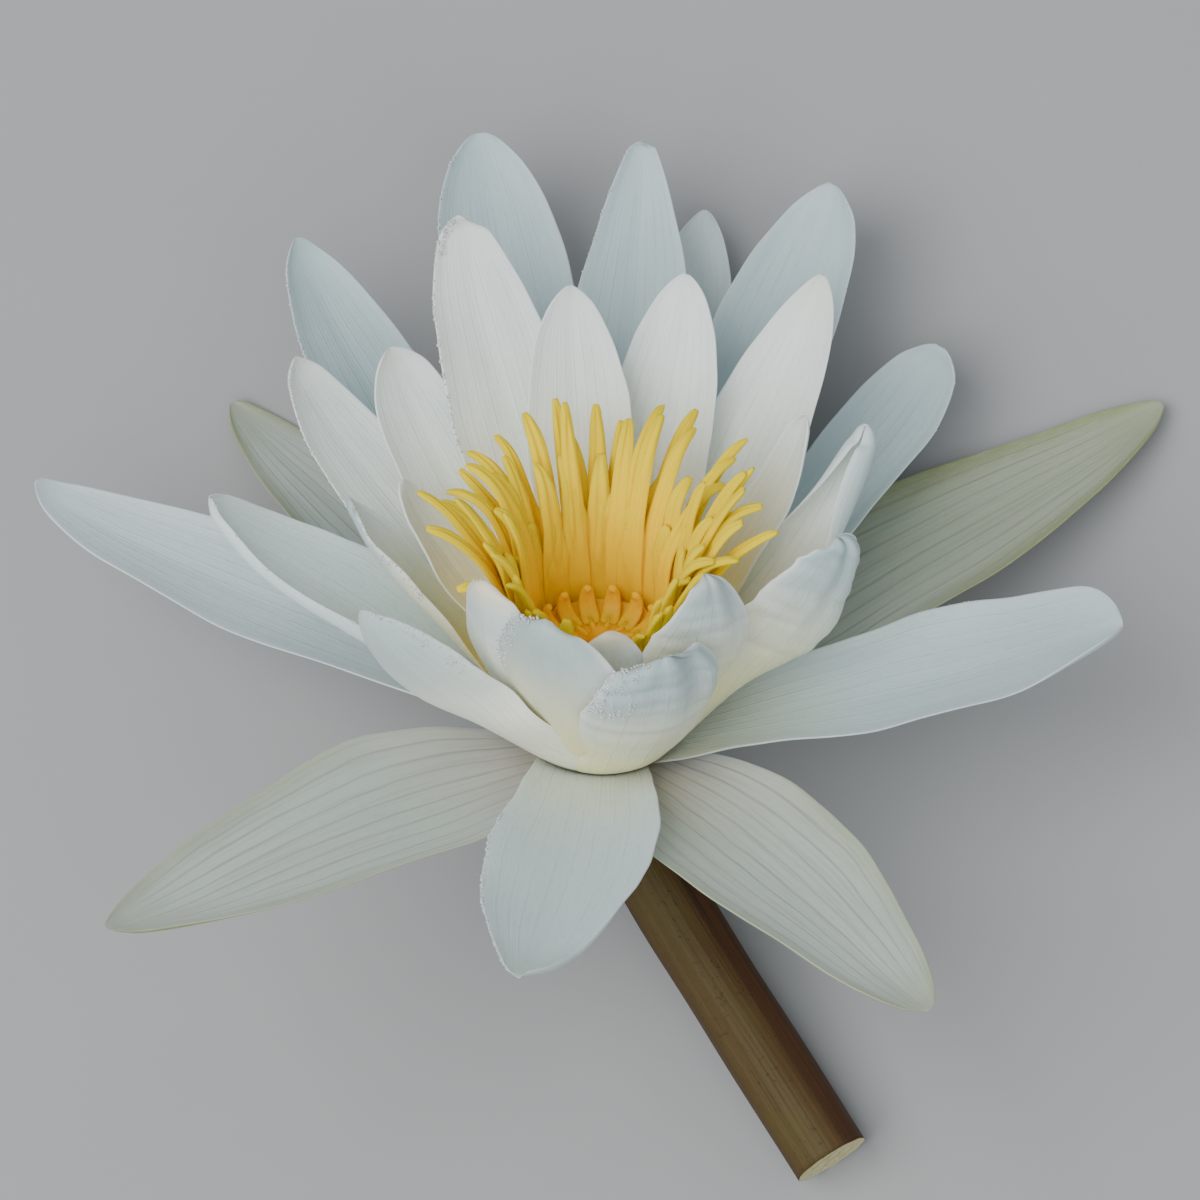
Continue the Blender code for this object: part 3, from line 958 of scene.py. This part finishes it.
OUTER_PETALS = {
    "petal_outer_1": Blade(46, 25, 58.5, 13.6, 1.7, claw=7, seat=39, outline=Outline.SQUARE, hood=40,
                           beads=(Beads(TRAIL, 0.75, 1.0, 16, size=0.6),)),
    "petal_outer_2": Blade(63.6, 31, 68.5, 16, 3.3, claw=7, bend=-5, ripple=0.5, hood=30, fray=1.6,
                           outline=Outline.BLUNT, beads=(Beads(TRAIL, 0.8, 1.0, 14, size=0.6),)),
    "petal_outer_3": Blade(78, 28, 67, 15, 0.8, claw=7, seat=80, verge=0.12, pale=0.6),
    "petal_outer_4": Blade(85.2, 34, 68, 17.5, 4.6, claw=7, hood=140, hood_start=0.968,
                           outline=Outline.POINTED, beads=(Beads(LEAD, 0.72, 0.97, 40, size=0.8),)),
    "petal_outer_5": Blade(102.4, 31, 73.3, 17.5, 2.6, claw=7, outline=Outline.BLUNT,
                           beads=(Beads(LEAD, 0.6, 1.0, 60),)),
    "petal_outer_6": Blade(124.5, 28, 69.5, 16.5, 1, claw=7, seat=123, hood=35,
                           beads=(Beads(LEAD, 0.62, 1.0, 34),)),
    "petal_outer_7": Blade(156.2, 10.6, 69.5, 19, 1.6, curl=2, cup=36, claw=10, seat=163, fray=0.4,
                           roll_lead=2, hood=35, pale=0.45, outline=Outline.BROAD),
    "petal_outer_8": Blade(168, 32, 47, 16.5, 2.7, curl=10, cup=36, claw=8, seat=167, roll_lead=75,
                           pale=0.7, hood=35, beads=(Beads(LEAD, 0.5, 1.0, 16),)),
    "petal_outer_9": Blade(262, 13, 56, 20, 1.6, curl=-12, cup=30, claw=15, bend=-12, green=0.3, pale=0.3,
                           roll_lead=62, roll_start=0.6, roll_from=0.45, outline=Outline.BROAD,
                           beads=(Beads(TRAIL, 0.25, 1.0, 110),)),
    "petal_outer_10": Blade(349.7, 24.6, 59.8, 22.3, 1.2, curl=6, cup=34, claw=10, seat=350, roll_trail=7,
                            pale=0.15, hook=4, hood=4, outline=Outline.BLUNT,
                            beads=(Beads(LEAD, 0.5, 1.0, 44, size=0.55),)),
}

MIDDLE_PETALS = {
    "petal_middle_1": Blade(33, 48, 42, 12, 4, curl=24, cup=46, claw=13, seat=18, bend=52, fray=0.5,
                            scroll=122, hood=60, hood_start=0.9, hook=0, outline=Outline.SQUARE),
    "petal_middle_2": Blade(55, 42, 52, 13.5, 4.8, curl=12, claw=7, warmth=0.3),
    "petal_middle_3": Blade(75, 46, 45.5, 14, 6.2, curl=12, claw=7),
    "petal_middle_4": Blade(96, 52, 41.5, 13.5, 7.7, curl=14, claw=7),
    "petal_middle_5": Blade(112, 45, 54.5, 15.5, 6.5, curl=12, claw=7, seat=110, warmth=0.12, hood=60,
                            beads=(Beads(LEAD, 0.45, 1.0, 80), Beads(LEAD, 0.90, 1.0, 22, 0.6, 0.3, 1.3))),
    "petal_middle_6": Blade(128, 42, 42.5, 13, 5.2, curl=14, cup=36, claw=7, seat=131,
                            outline=Outline.BLUNT, warmth=0.1),
    "petal_middle_7": Blade(139, 34, 50.3, 13.5, 3.7, curl=12, cup=34, claw=7, seat=139, warmth=0.15,
                            hood=45, beads=(Beads(LEAD, 0.6, 1.0, 40),)),
    # Its all-over green tint is painted shade.
    "petal_middle_8": Blade(191, 48.5, 36, 16, 2.7, curl=24, cup=34, claw=17, seat=241, green_and_shade_wash=0.08, hook=2,
                            hood=15, twist=-52, outline=Outline.TAPER,
                            beads=(Beads(LEAD, 0.6, 1.0, 70, 0.3, -0.3, 0.7),)),
}

INNER_PETALS = {
    "petal_inner_1": Blade(38, 52, 34.5, 8, 6.3, curl=14, cup=40, claw=6, seat=33),
    "petal_inner_2": Blade(152, 49, 27, 8.5, 6.7, curl=16, cup=40, claw=6, seat=148),
    "petal_inner_3": Blade(157, 42, 31.5, 12, 5, curl=16, cup=44, claw=7, seat=163, hood=50,
                           twist=-24, roll_lead=40,
                           beads=(Beads(LEAD, 0.5, 1.0, 50, 0.15, -0.2, 0.8),
                                  Beads(LEAD, 0.85, 1.0, 7, 0.6, 0.4, 1.8))),
    "petal_inner_4": Blade(223.5, 73.5, 26.5, 12.5, 6.2, curl=28, cup=40, claw=10, seat=220, hood=40,
                           outline=Outline.BLUNT, warmth=0.8, pale=0.5,
                           beads=(Beads(TRAIL, 0.88, 1.0, 16, 0.3, -0.2, 0.7),)),
    # Its all-over green tint is painted shade.
    "petal_inner_5": Blade(236.5, 69, 30, 25, 4.4, curl=32, cup=40, claw=17, seat=264, green_and_shade_wash=0.12, hood=50,
                           outline=Outline.TAPER,
                           beads=(Beads(TRAIL, 0.62, 1.0, 150, 0.45, -0.36, 0.8),)),
    "petal_inner_6": Blade(275, 80, 19.3, 9.5, 6.9, curl=26, cup=36, claw=6, warmth=0.8, pale=1.0,
                           fray=1.6),
    # Its all-over green tint is painted shade.
    "petal_inner_7": Blade(291, 62, 31.5, 18.8, 2.4, curl=44, cup=58, claw=13, bend=14, crumple=0.26,
                           green_and_shade_wash=0.07, hood=35, pleats=0.7, outline=Outline.SQUARE,
                           beads=(Beads(TRAIL, 0.72, 1.0, 170, 0.55, -0.36, 0.8),)),
    "petal_inner_8": Blade(308, 74, 31, 14.5, 5, curl=28, cup=44, claw=13, seat=318, crumple=0.2,
                           pleats=0.4, warmth=0.15, outline=Outline.TAPER, hood=50, twist=14),
    "petal_inner_9": Blade(352, 57, 38, 16.5, 2.7, curl=24, cup=40, claw=9, seat=345, crumple=0.42,
                           pleats=0.5, hood=50, twist=58, fray=0.5, outline=Outline.BROAD),
}


@dataclass
class Whorl:
    """One whorl of sepals or petals."""
    slot: str                  # the record's slot for its finish
    blades: dict[str, Blade]
    finish: PetalFinish
    skin: BladeSkin = field(default_factory=BladeSkin)
    seed: int = 0
    pieces: list[bpy.types.Object] = field(default_factory=list)

    def build(self, ovary: Ovary, attitude: Attitude) -> None:
        """Mesh every blade of the whorl.

        Args:
            ovary: what carries the seats.
            attitude: where the flower lies.
        """
        for place, (node, blade) in enumerate(self.blades.items()):
            name = node + "_blade"
            mesh = self.skin.mesh(name, blade, ovary.seat(blade), self.seed + place, attitude)
            self.pieces.append(add_piece(name, mesh, self.slot, node))

    def dress(self) -> None:
        """Give every blade the whorl's finish."""
        material = self.finish.material()
        for piece in self.pieces:
            piece.data.materials.append(material)


@dataclass(frozen=True)
class StamenRing:
    """One ring of stamens on the collar; lengths in mm, angles in degrees."""
    count: int
    radius: float          # from the axis to their roots
    height: float          # of their roots
    lift: float            # rise above level, halfway along
    curl: float            # how far they turn upwards from root to tip
    length: float
    width: float


@dataclass
class Stamens:
    """The crown of flat stamens on the ovary's neck."""
    rings: tuple[StamenRing, ...] = (
        StamenRing(27, 9.9, 12.6, 67, -56, 26.8, 2.7),
        StamenRing(24, 9.7, 13.2, 73, -42, 26.0, 3.0),
        StamenRing(21, 9.5, 13.6, 81, -24, 20.5, 3.6),
        StamenRing(18, 9.2, 13.8, 87, -4, 15.0, 4.0),
    )
    front_shortening: float = 0.62       # share of its length that one at the very front lacks
    front_straightening: float = 14.0    # how much steeper it stands there
    front_focus: float = 1.8             # higher keeps both closer to the very front
    rear_growth: float = 0.05            # share by which one at the very back is longer
    steepest: float = 88.0
    lengths: tuple[float, float] = (0.88, 1.08)    # seeded spreads, as factors or angles
    widths: tuple[float, float] = (0.85, 1.1)
    lifts: tuple[float, float] = (-5.0, 5.0)
    curls: tuple[float, float] = (0.5, 1.4)
    bends: tuple[float, float] = (-16.0, 16.0)
    hooks: tuple[float, float] = (-50.0, 10.0)
    # Radius and height in mm, round the collar's section.
    collar_profile: Rows = ((8.6, 14.4), (10.0, 14.2), (10.4, 13.2), (10.2, 12.2), (9.7, 11.7),
                            (8.6, 11.7))
    collar_sides: int = 96
    seed: int = 11
    strap_seed: int = 100                # of the first stamen's own waves
    skin: BladeSkin = BladeSkin(rows=26, columns=12, thickness=0.7, fullness=0.8, anthers=0.28,
                                end=0.995)
    piece: Optional[bpy.types.Object] = None

    def blades(self) -> Iterator[tuple[Blade, Place]]:
        """Grow every stamen with a small seeded spread.

        Yields:
            The stamen and its root.
        """
        draw = random.Random(self.seed)
        for ring in self.rings:
            for k in range(ring.count):
                azimuth = 360.0 * (k + 0.5 * draw.random()) / ring.count
                side = math.sin(math.radians(azimuth))
                front, rear = max(0.0, -side) ** self.front_focus, max(0.0, side)
                length = ring.length * (1.0 - self.front_shortening * front + self.rear_growth * rear)
                length *= draw.uniform(*self.lengths)
                lift = ring.lift + self.front_straightening * front + draw.uniform(*self.lifts)
                curl = ring.curl * (1.0 - front) * draw.uniform(*self.curls)
                width = ring.width * draw.uniform(*self.widths)
                blade = Blade(azimuth, min(lift, self.steepest), length, width, 0, curl=curl, cup=18,
                              claw=ring.width * 0.9, bend=draw.uniform(*self.bends),
                              hook=draw.uniform(*self.hooks), hood=0, roll_lead=0, roll_trail=0,
                              ripple=0.18, keel=0.0, outline=Outline.STRAP)
                yield blade, around_axis(ring.radius, azimuth, ring.height)

    def build(self, attitude: Attitude) -> None:
        """Mesh the crown and the collar under it as one piece.

        Args:
            attitude: where the flower lies.
        """
        straps = [self.skin.mesh("stamen", blade, root, self.strap_seed + k, attitude)
                  for k, (blade, root) in enumerate(self.blades())]
        straps.append(self.collar(attitude))
        crown = join_meshes("stamen_crown", straps)
        self.piece = add_piece("stamen_crown", crown, "stamen", "stamens")

    def collar(self, attitude: Attitude) -> bpy.types.Mesh:
        """The band that the stamens grow from.

        Args:
            attitude: where the flower lies.

        Returns:
            Its mesh, a closed ring.
        """
        profile = np.array(self.collar_profile)
        sides, corners = self.collar_sides, len(profile)
        turn = np.linspace(0.0, math.tau, sides + 1)[:-1]
        points = np.stack([profile[None, :, 0] * np.cos(turn)[:, None],
                           profile[None, :, 0] * np.sin(turn)[:, None],
                           np.broadcast_to(profile[None, :, 1], (sides, corners))], axis=-1)
        here = np.arange(sides * corners).reshape(sides, corners)
        after, ahead = np.roll(here, -1, axis=1), np.roll(here, -1, axis=0)
        quads = np.stack([here, after, np.roll(after, -1, axis=0), ahead], axis=-1).reshape(-1, 4)
        mesh = bpy.data.meshes.new("collar")
        mesh.from_pydata(attitude.place(points).tolist(), [], quads.tolist())
        for key in ("along", "across", "back", "seed", "pale", "warmth", "green"):
            mesh.attributes.new(key, "FLOAT", "POINT")
        mesh.shade_smooth()
        return mesh

    def dress(self) -> None:
        """Give the crown its waxy yellow."""
        self.piece.data.materials.append(StamenFinish().material())


@dataclass
class Pistil:
    """Ovary, stigma disc with its rays, and the knob in the middle."""
    rays: int = 14
    rows: int = 90
    sides: int = 168
    # Radius and height in mm, from the knob's top over the disc and its rim down to the side.
    profile: Rows = ((0.0, 17.6), (0.5, 17.55), (0.9, 17.4), (1.4, 16.6), (1.6, 15.6), (2.2, 15.1),
                     (4.5, 14.9), (6.2, 15.1), (7.2, 15.5), (7.9, 16.0), (8.2, 15.7), (8.3, 14.4),
                     (8.3, 11.4), (9.6, 10.6))
    side_heights: tuple[float, ...] = (9.0, 7.0, 5.0, 3.0, 1.4, 0.0)
    foot: Rows = ((6.4, -0.7), (0.0, -0.7))
    ridge: float = 0.5             # height of the rays' ridges on the disc, mm
    ray_reach: float = 4.4         # from the axis to the root of a ray, mm
    ray_height: float = 14.9       # of that root, mm
    ray_seed: int = 300            # of the first ray's own waves
    ray_skin: BladeSkin = BladeSkin(rows=16, columns=10, thickness=0.9, fullness=0.9, end=0.995)
    piece: Optional[bpy.types.Object] = None

    def build(self, ovary: Ovary, attitude: Attitude) -> None:
        """Turn the body and set the hooked rays on its rim.

        Args:
            ovary: gives the body's side.
            attitude: where the flower lies.
        """
        side = tuple((ovary.side(height), height) for height in self.side_heights)
        corners = np.array(self.profile + side + self.foot)
        share = np.linspace(0.0, len(corners) - 1.0, self.rows)
        radius = np.interp(share, np.arange(len(corners)), corners[:, 0])
        height = np.interp(share, np.arange(len(corners)), corners[:, 1])
        turn = np.linspace(0.0, math.tau, self.sides + 1)[:-1]
        wave = np.clip(np.cos(self.rays * turn), 0.0, 1.0)[None, :] ** 0.7
        # The ridges fade out towards the knob, over the rim and down the side.
        on_disc = (smooth_step(1.8, 3.2, radius) * (1.0 - smooth_step(8.1, 8.35, radius))
                   * smooth_step(14.0, 14.8, height))[:, None]
        lifted = height[:, None] + self.ridge * wave * on_disc
        reach = np.maximum(radius, 0.02)[:, None]
        rings = np.stack([reach * np.cos(turn), reach * np.sin(turn), lifted], axis=-1)
        marks = {
            "ridge": (wave * on_disc).ravel(),
            "disc": np.repeat(smooth_step(12.0, 14.5, height), self.sides),
        }
        parts = [closed_tube("body", attitude.place(rings).reshape(*rings.shape), marks)]
        for k in range(self.rays):
            azimuth = 360.0 * k / self.rays
            ray = Blade(azimuth, 58, 5.6, 2.4, 0, curl=120, cup=14, claw=1.6, hook=20, hood=0,
                        roll_lead=0, roll_trail=0, ripple=0.05, keel=0.1, outline=Outline.STRAP)
            root = around_axis(self.ray_reach, azimuth, self.ray_height)
            mesh = self.ray_skin.mesh("ray", ray, root, self.ray_seed + k, attitude)
            count = len(mesh.vertices)
            for key in ("ridge", "disc"):
                mesh.attributes.new(key, "FLOAT", "POINT").data.foreach_set("value", np.ones(count))
            parts.append(mesh)
        whole = join_meshes("stigma_and_ovary", parts)
        self.piece = add_piece("stigma_and_ovary", whole, "stigma", "pistil")

    def dress(self) -> None:
        """Give the pistil its golden wax."""
        self.piece.data.materials.append(StigmaFinish().material())


@dataclass
class Stem:
    """The stem with its receptacle, and the cut end with its air canals; in mm."""
    radius: float = 4.8
    receptacle: float = 6.5        # its radius
    top: float = -1.0              # height of its flat top, just under the ovary's foot
    # The route is one cubic curve through its first and last points, drawn by the two between.
    route: Rows = ((0, 0, -2.5), (0, 0, -9), (10, -14, -17), (28, -38, -34))
    sideways: Place = (0.80, 0.60, 0.0)      # a direction that it never runs along
    furrows: Rows = ((0.012, 9, 0.7), (0.008, 14, 2.0))      # depth as a share, count, turn
    inset: float = 0.014           # share of the radius by which the skin stays inside it
    canal_rings: Rows = ((4, 1.75, 1.05, 0.4), (12, 3.45, 0.42, 0.1))   # count, reach, radius, turn
    canal_depth: float = 1.6
    rim: float = 0.12              # how far the cut's rim stands out from its face
    rows: int = 150
    cut_rows: int = 44
    sides: int = 112
    piece: Optional[bpy.types.Object] = None

    def line(self) -> tuple[Grid, Grid]:
        """Follow the stem's middle.

        Returns:
            The points and the radius at each.
        """
        share = np.linspace(0.0, 1.0, self.rows)[:, None] ** 1.15
        corners = np.array(self.route, float)
        curve = ((1 - share) ** 3 * corners[0] + 3 * share * (1 - share) ** 2 * corners[1]
                 + 3 * share ** 2 * (1 - share) * corners[2] + share ** 3 * corners[3])
        points = np.vstack([[(0.0, 0.0, self.top)], curve])
        flare = (self.receptacle / self.radius - 1.0) * (1.0 - smooth_step(0.0, 0.16, share[:, 0]))
        return points, self.radius * np.concatenate([[1.0 + flare[0]], 1.0 + flare])

    def build(self, attitude: Attitude) -> None:
        """Mesh the stem.

        Args:
            attitude: where the flower lies.
        """
        points, radius = self.line()
        tangent = np.gradient(points, axis=0)
        tangent /= np.linalg.norm(tangent, axis=-1, keepdims=True)
        first = np.cross(tangent, self.sideways)
        first /= np.linalg.norm(first, axis=-1, keepdims=True)
        second = np.cross(tangent, first)
        turn = np.linspace(0.0, math.tau, self.sides + 1)[:-1]
        along = np.linspace(0.0, 1.0, len(points))
        furrow = sum(depth * np.sin(count * turn + phase)
                     for depth, count, phase in self.furrows)[None, :]
        swell = 0.012 * np.sin(along * 23.0)[:, None] * np.sin(turn * 2.0 + along[:, None] * 5.0)
        reach = radius[:, None] * (1.0 - self.inset + furrow + swell)
        skin = (points[:, None] + first[:, None] * (reach * np.cos(turn))[..., None]
                + second[:, None] * (reach * np.sin(turn))[..., None])
        rows = [skin]
        sunk = []
        for share in np.linspace(1.0, 0.02, self.cut_rows)[1:]:
            spot = reach[-1:] * share
            depth = self.canals(spot * np.cos(turn), spot * np.sin(turn), share)
            sunk.append(depth)
            rows.append(points[-1:, None] + first[-1:, None] * (spot * np.cos(turn))[..., None]
                        + second[-1:, None] * (spot * np.sin(turn))[..., None]
                        - tangent[-1:, None] * depth[..., None])
        rings = np.vstack(rows)
        count = len(rings) - len(points)
        marks = {
            "along": np.repeat(np.concatenate([along, np.ones(count)]), self.sides),
            "around": np.tile(turn / math.tau, len(rings)),
            "pith": np.concatenate([np.zeros(len(points) * self.sides),
                                    np.clip(1.0 - np.vstack(sunk).ravel() * 0.55, 0.1, 1.0)]),
        }
        mesh = closed_tube("stem_stalk", attitude.place(rings).reshape(*rings.shape), marks)
        self.piece = add_piece("stem_stalk", mesh, "stem", "stem")

    def canals(self, x: Grid, y: Grid, share: float) -> Grid:
        """Depth of the air canals in the cut face.

        Args:
            x: places across it, mm.
            y: places across it, mm.
            share: how far out they are, from 0 to 1.

        Returns:
            Depths in mm.
        """
        depth = np.zeros_like(x)
        for count, out, size, phase in self.canal_rings:
            for k in range(count):
                angle = math.tau * k / count + phase
                gap = np.hypot(x - out * math.cos(angle), y - out * math.sin(angle))
                sunk = self.canal_depth * (1.0 - smooth_step(size * 0.7, size, gap))
                depth = np.maximum(depth, sunk)
        return depth + self.rim * (1.0 - smooth_step(0.86, 1.0, np.full_like(x, share)))

    def dress(self) -> None:
        """Give the stem its brown skin."""
        self.piece.data.materials.append(StemFinish().material())


@dataclass
class Dew:
    """Fine beads of water along the margins of some petals."""
    smallest: float = 0.12     # radius, mm
    largest: float = 0.30      # radius, mm
    last: float = 0.985        # share of a blade's length beyond which none lies
    columns: int = 61          # how finely the blade is read across
    seed: int = 5
    pieces: list[bpy.types.Object] = field(default_factory=list)

    def build(self, whorl: Whorl, ovary: Ovary, attitude: Attitude) -> None:
        """Set the beads of one whorl.

        Args:
            whorl: its blades say where beads lie.
            ovary: what carries the seats.
            attitude: where the flower lies.
        """
        for place, (node, blade) in enumerate(whorl.blades.items()):
            if not blade.beads:
                continue
            drops = bmesh.new()
            draw = random.Random(self.seed + whorl.seed + place)
            start = ovary.seat(blade)
            for run in blade.beads:
                for _ in range(run.count):
                    self.add_bead(drops, draw, run, blade, start, whorl.seed + place, attitude)
            name = "dew_on_" + node
            mesh = bpy.data.meshes.new(name)
            drops.to_mesh(mesh)
            drops.free()
            mesh.shade_smooth()
            self.pieces.append(add_piece(name, mesh, whorl.slot))

    def add_bead(self, drops: bmesh.types.BMesh, draw: random.Random, run: Beads, blade: Blade,
                 start: Place, seed: int, attitude: Attitude) -> None:
        """Set one bead.

        Args:
            drops: the mesh that it joins.
            draw: where its place and size are drawn from.
            run: the margin that it lies on.
            blade: the blade that it lies on.
            start: the middle of the blade's seat, in mm.
            seed: the blade's seed.
            attitude: where the flower lies.
        """
        along = min(run.start + (run.end - run.start) * draw.random(), self.last)
        across = run.margin.value * (1.0 - run.spread * draw.random() ** 1.4)
        columns = np.linspace(-1.0, 1.0, self.columns)
        sheet = blade.sheet(start, np.array([along - 0.01, along, along + 0.01]), columns, seed)
        normal = np.cross(np.gradient(sheet, axis=0), np.gradient(sheet, axis=1))[1]
        normal = normal / np.linalg.norm(normal, axis=-1, keepdims=True) * run.lift
        spot = np.array([np.interp(across, columns, (sheet[1] + normal)[:, k]) for k in range(3)])
        centre = Vector(attitude.place(spot)[0])
        size = draw.uniform(self.smallest, self.largest) * draw.uniform(0.6, 1.0) * run.size * MM
        bmesh.ops.create_icosphere(drops, subdivisions=2, radius=size,
                                   matrix=Matrix.Translation(centre))

    def dress(self) -> None:
        """Make every bead clear water."""
        material = DewFinish().material()
        for piece in self.pieces:
            piece.data.materials.append(material)


# ---------------------------------------------------------------- the studio

@dataclass(frozen=True)
class SoftLight:
    """One square soft light that faces the flower; in metres and watts."""
    name: str
    place: Place
    size: float
    power: float
    tint: Colour


@dataclass
class Studio:
    """Camera, soft lights and a plain pale floor."""
    elevation: float = 38.0        # of the camera over the upright flower's level, in degrees
    distance: float = 750.0        # from what it looks at, mm
    target: float = 22.0           # height on the upright flower that it looks at, mm
    lens: float = 187.5
    sight: float = 10.0            # how far it sees, in metres
    lights: tuple[SoftLight, ...] = (
        SoftLight("key", (-0.46, -0.30, 1.15), 1.1, 17.0, (1.0, 1.0, 0.98)),
        SoftLight("fill", (0.4, -0.8, 0.9), 0.9, 4.0, (0.94, 0.98, 1.0)),
    )
    room_tint: Colour = (0.92, 0.96, 1.0)
    room_strength: float = 0.62
    floor_reach: float = 3.0       # from its middle to its sides, in metres

    def add_camera(self, attitude: Attitude) -> None:
        """Look at the flower from in front and above.

        Args:
            attitude: where the flower lies.
        """
        rise = math.radians(self.elevation)
        back = Vector((0.0, -math.cos(rise), math.sin(rise)))
        up = Vector((0.0, math.sin(rise), math.cos(rise)))
        turn = Matrix((Vector((1.0, 0.0, 0.0)), up, back)).transposed().to_4x4()
        eye = Matrix.Translation((Vector((0.0, 0.0, self.target)) + back * self.distance) * MM)
        data = bpy.data.cameras.new("camera")
        data.lens = self.lens
        data.clip_end = self.sight
        camera = add_object("camera", data)
        camera.matrix_world = attitude.matrix @ eye @ turn
        bpy.context.scene.camera = camera

    def add_lights(self) -> None:
        """Hang the lights and fill the room with soft light."""
        for light in self.lights:
            data = bpy.data.lights.new(light.name, "AREA")
            data.size = light.size
            data.energy = light.power
            data.color = light.tint
            lamp = add_object(light.name, data)
            place = Vector(light.place)
            lamp.location = place
            lamp.rotation_euler = (-place).to_track_quat("-Z", "Y").to_euler()
        world = bpy.data.worlds.new("room")
        world.use_nodes = True
        backdrop = world.node_tree.nodes["Background"]
        backdrop.inputs["Color"].default_value = (*self.room_tint, 1.0)
        backdrop.inputs["Strength"].default_value = self.room_strength
        bpy.context.scene.world = world

    def add_floor(self) -> None:
        """Lay the floor that the flower rests on."""
        slab = bmesh.new()
        bmesh.ops.create_grid(slab, x_segments=1, y_segments=1, size=self.floor_reach)
        mesh = bpy.data.meshes.new("floor")
        slab.to_mesh(mesh)
        slab.free()
        mesh.materials.append(FloorFinish().material())
        add_object("floor", mesh)


SEPAL_SKIN = PetalFinish("sepal_skin", body=(0.47, 0.54, 0.48), root=(0.57, 0.54, 0.52),
                         back=(0.20, 0.27, 0.08), vein=(0.28, 0.23, 0.26), margin_and_rim_light=(0.38, 0.42, 0.10),
                         cloud=(0.42, 0.42, 0.39), veins=5.0, vein_share=0.58, margin_and_rim_light_share=0.15,
                         back_colour_and_shade_share=0.85, root_reach=0.35, back_colour_and_shade_reach=0.4)
# The petal skins share one white: the outer body is a painted shaded copy of it, darker and bluer, and the
# middle body a painted lit copy.
OUTER_SKIN = PetalFinish("outer_petal_skin", body=(0.455, 0.57, 0.59), root=(0.62, 0.67, 0.62),
                         back=(0.34, 0.45, 0.48), vein=(0.38, 0.46, 0.49), margin_and_rim_light=(0.68, 0.73, 0.74),
                         cloud=(0.37, 0.49, 0.52), veins=5.0, vein_share=0.14, margin_and_rim_light_share=0.18)
MIDDLE_SKIN = PetalFinish("middle_petal_skin", body=(0.80, 0.89, 0.86), root=(0.98, 0.95, 0.74),
                          back=(0.46, 0.57, 0.59), vein=(0.55, 0.59, 0.58), margin_and_rim_light=(0.84, 0.87, 0.86),
                          cloud=(0.60, 0.70, 0.69), veins=5.0, vein_share=0.12, margin_and_rim_light_share=0.4,
                          back_colour_and_shade_share=0.8, root_reach=0.95, back_colour_and_shade_reach=0.8)
INNER_SKIN = PetalFinish("inner_petal_skin", body=(0.70, 0.76, 0.74), root=(0.98, 0.88, 0.40),
                         back=(0.33, 0.44, 0.47), vein=(0.50, 0.54, 0.54), margin_and_rim_light=(0.86, 0.90, 0.89),
                         cloud=(0.56, 0.66, 0.66), veins=4.0, vein_share=0.10, margin_and_rim_light_share=0.6,
                         back_colour_and_shade_share=0.85, root_reach=1.0, back_colour_and_shade_reach=0.95)


def main() -> None:
    """Build and dress the flower in order, and log each piece's face count."""
    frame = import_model()
    attitude = Attitude(frame["nodes"]["pistil"])
    studio = Studio()
    studio.add_camera(attitude)
    ovary = Ovary()
    dew = Dew()
    for whorl in (Whorl("sepal", SEPALS, SEPAL_SKIN, seed=1),
                  Whorl("petal", OUTER_PETALS, OUTER_SKIN, seed=11),
                  Whorl("petal", MIDDLE_PETALS, MIDDLE_SKIN, seed=31),
                  Whorl("inner_petal", INNER_PETALS, INNER_SKIN, seed=51)):
        whorl.build(ovary, attitude)
        whorl.dress()
        dew.build(whorl, ovary, attitude)
    dew.dress()
    stamens = Stamens()
    stamens.build(attitude)
    stamens.dress()
    pistil = Pistil()
    pistil.build(ovary, attitude)
    pistil.dress()
    stem = Stem()
    stem.build(attitude)
    stem.dress()
    studio.add_lights()
    studio.add_floor()


if __name__ == "__main__":
    logging.basicConfig(level=logging.INFO, format="%(message)s")
    main()
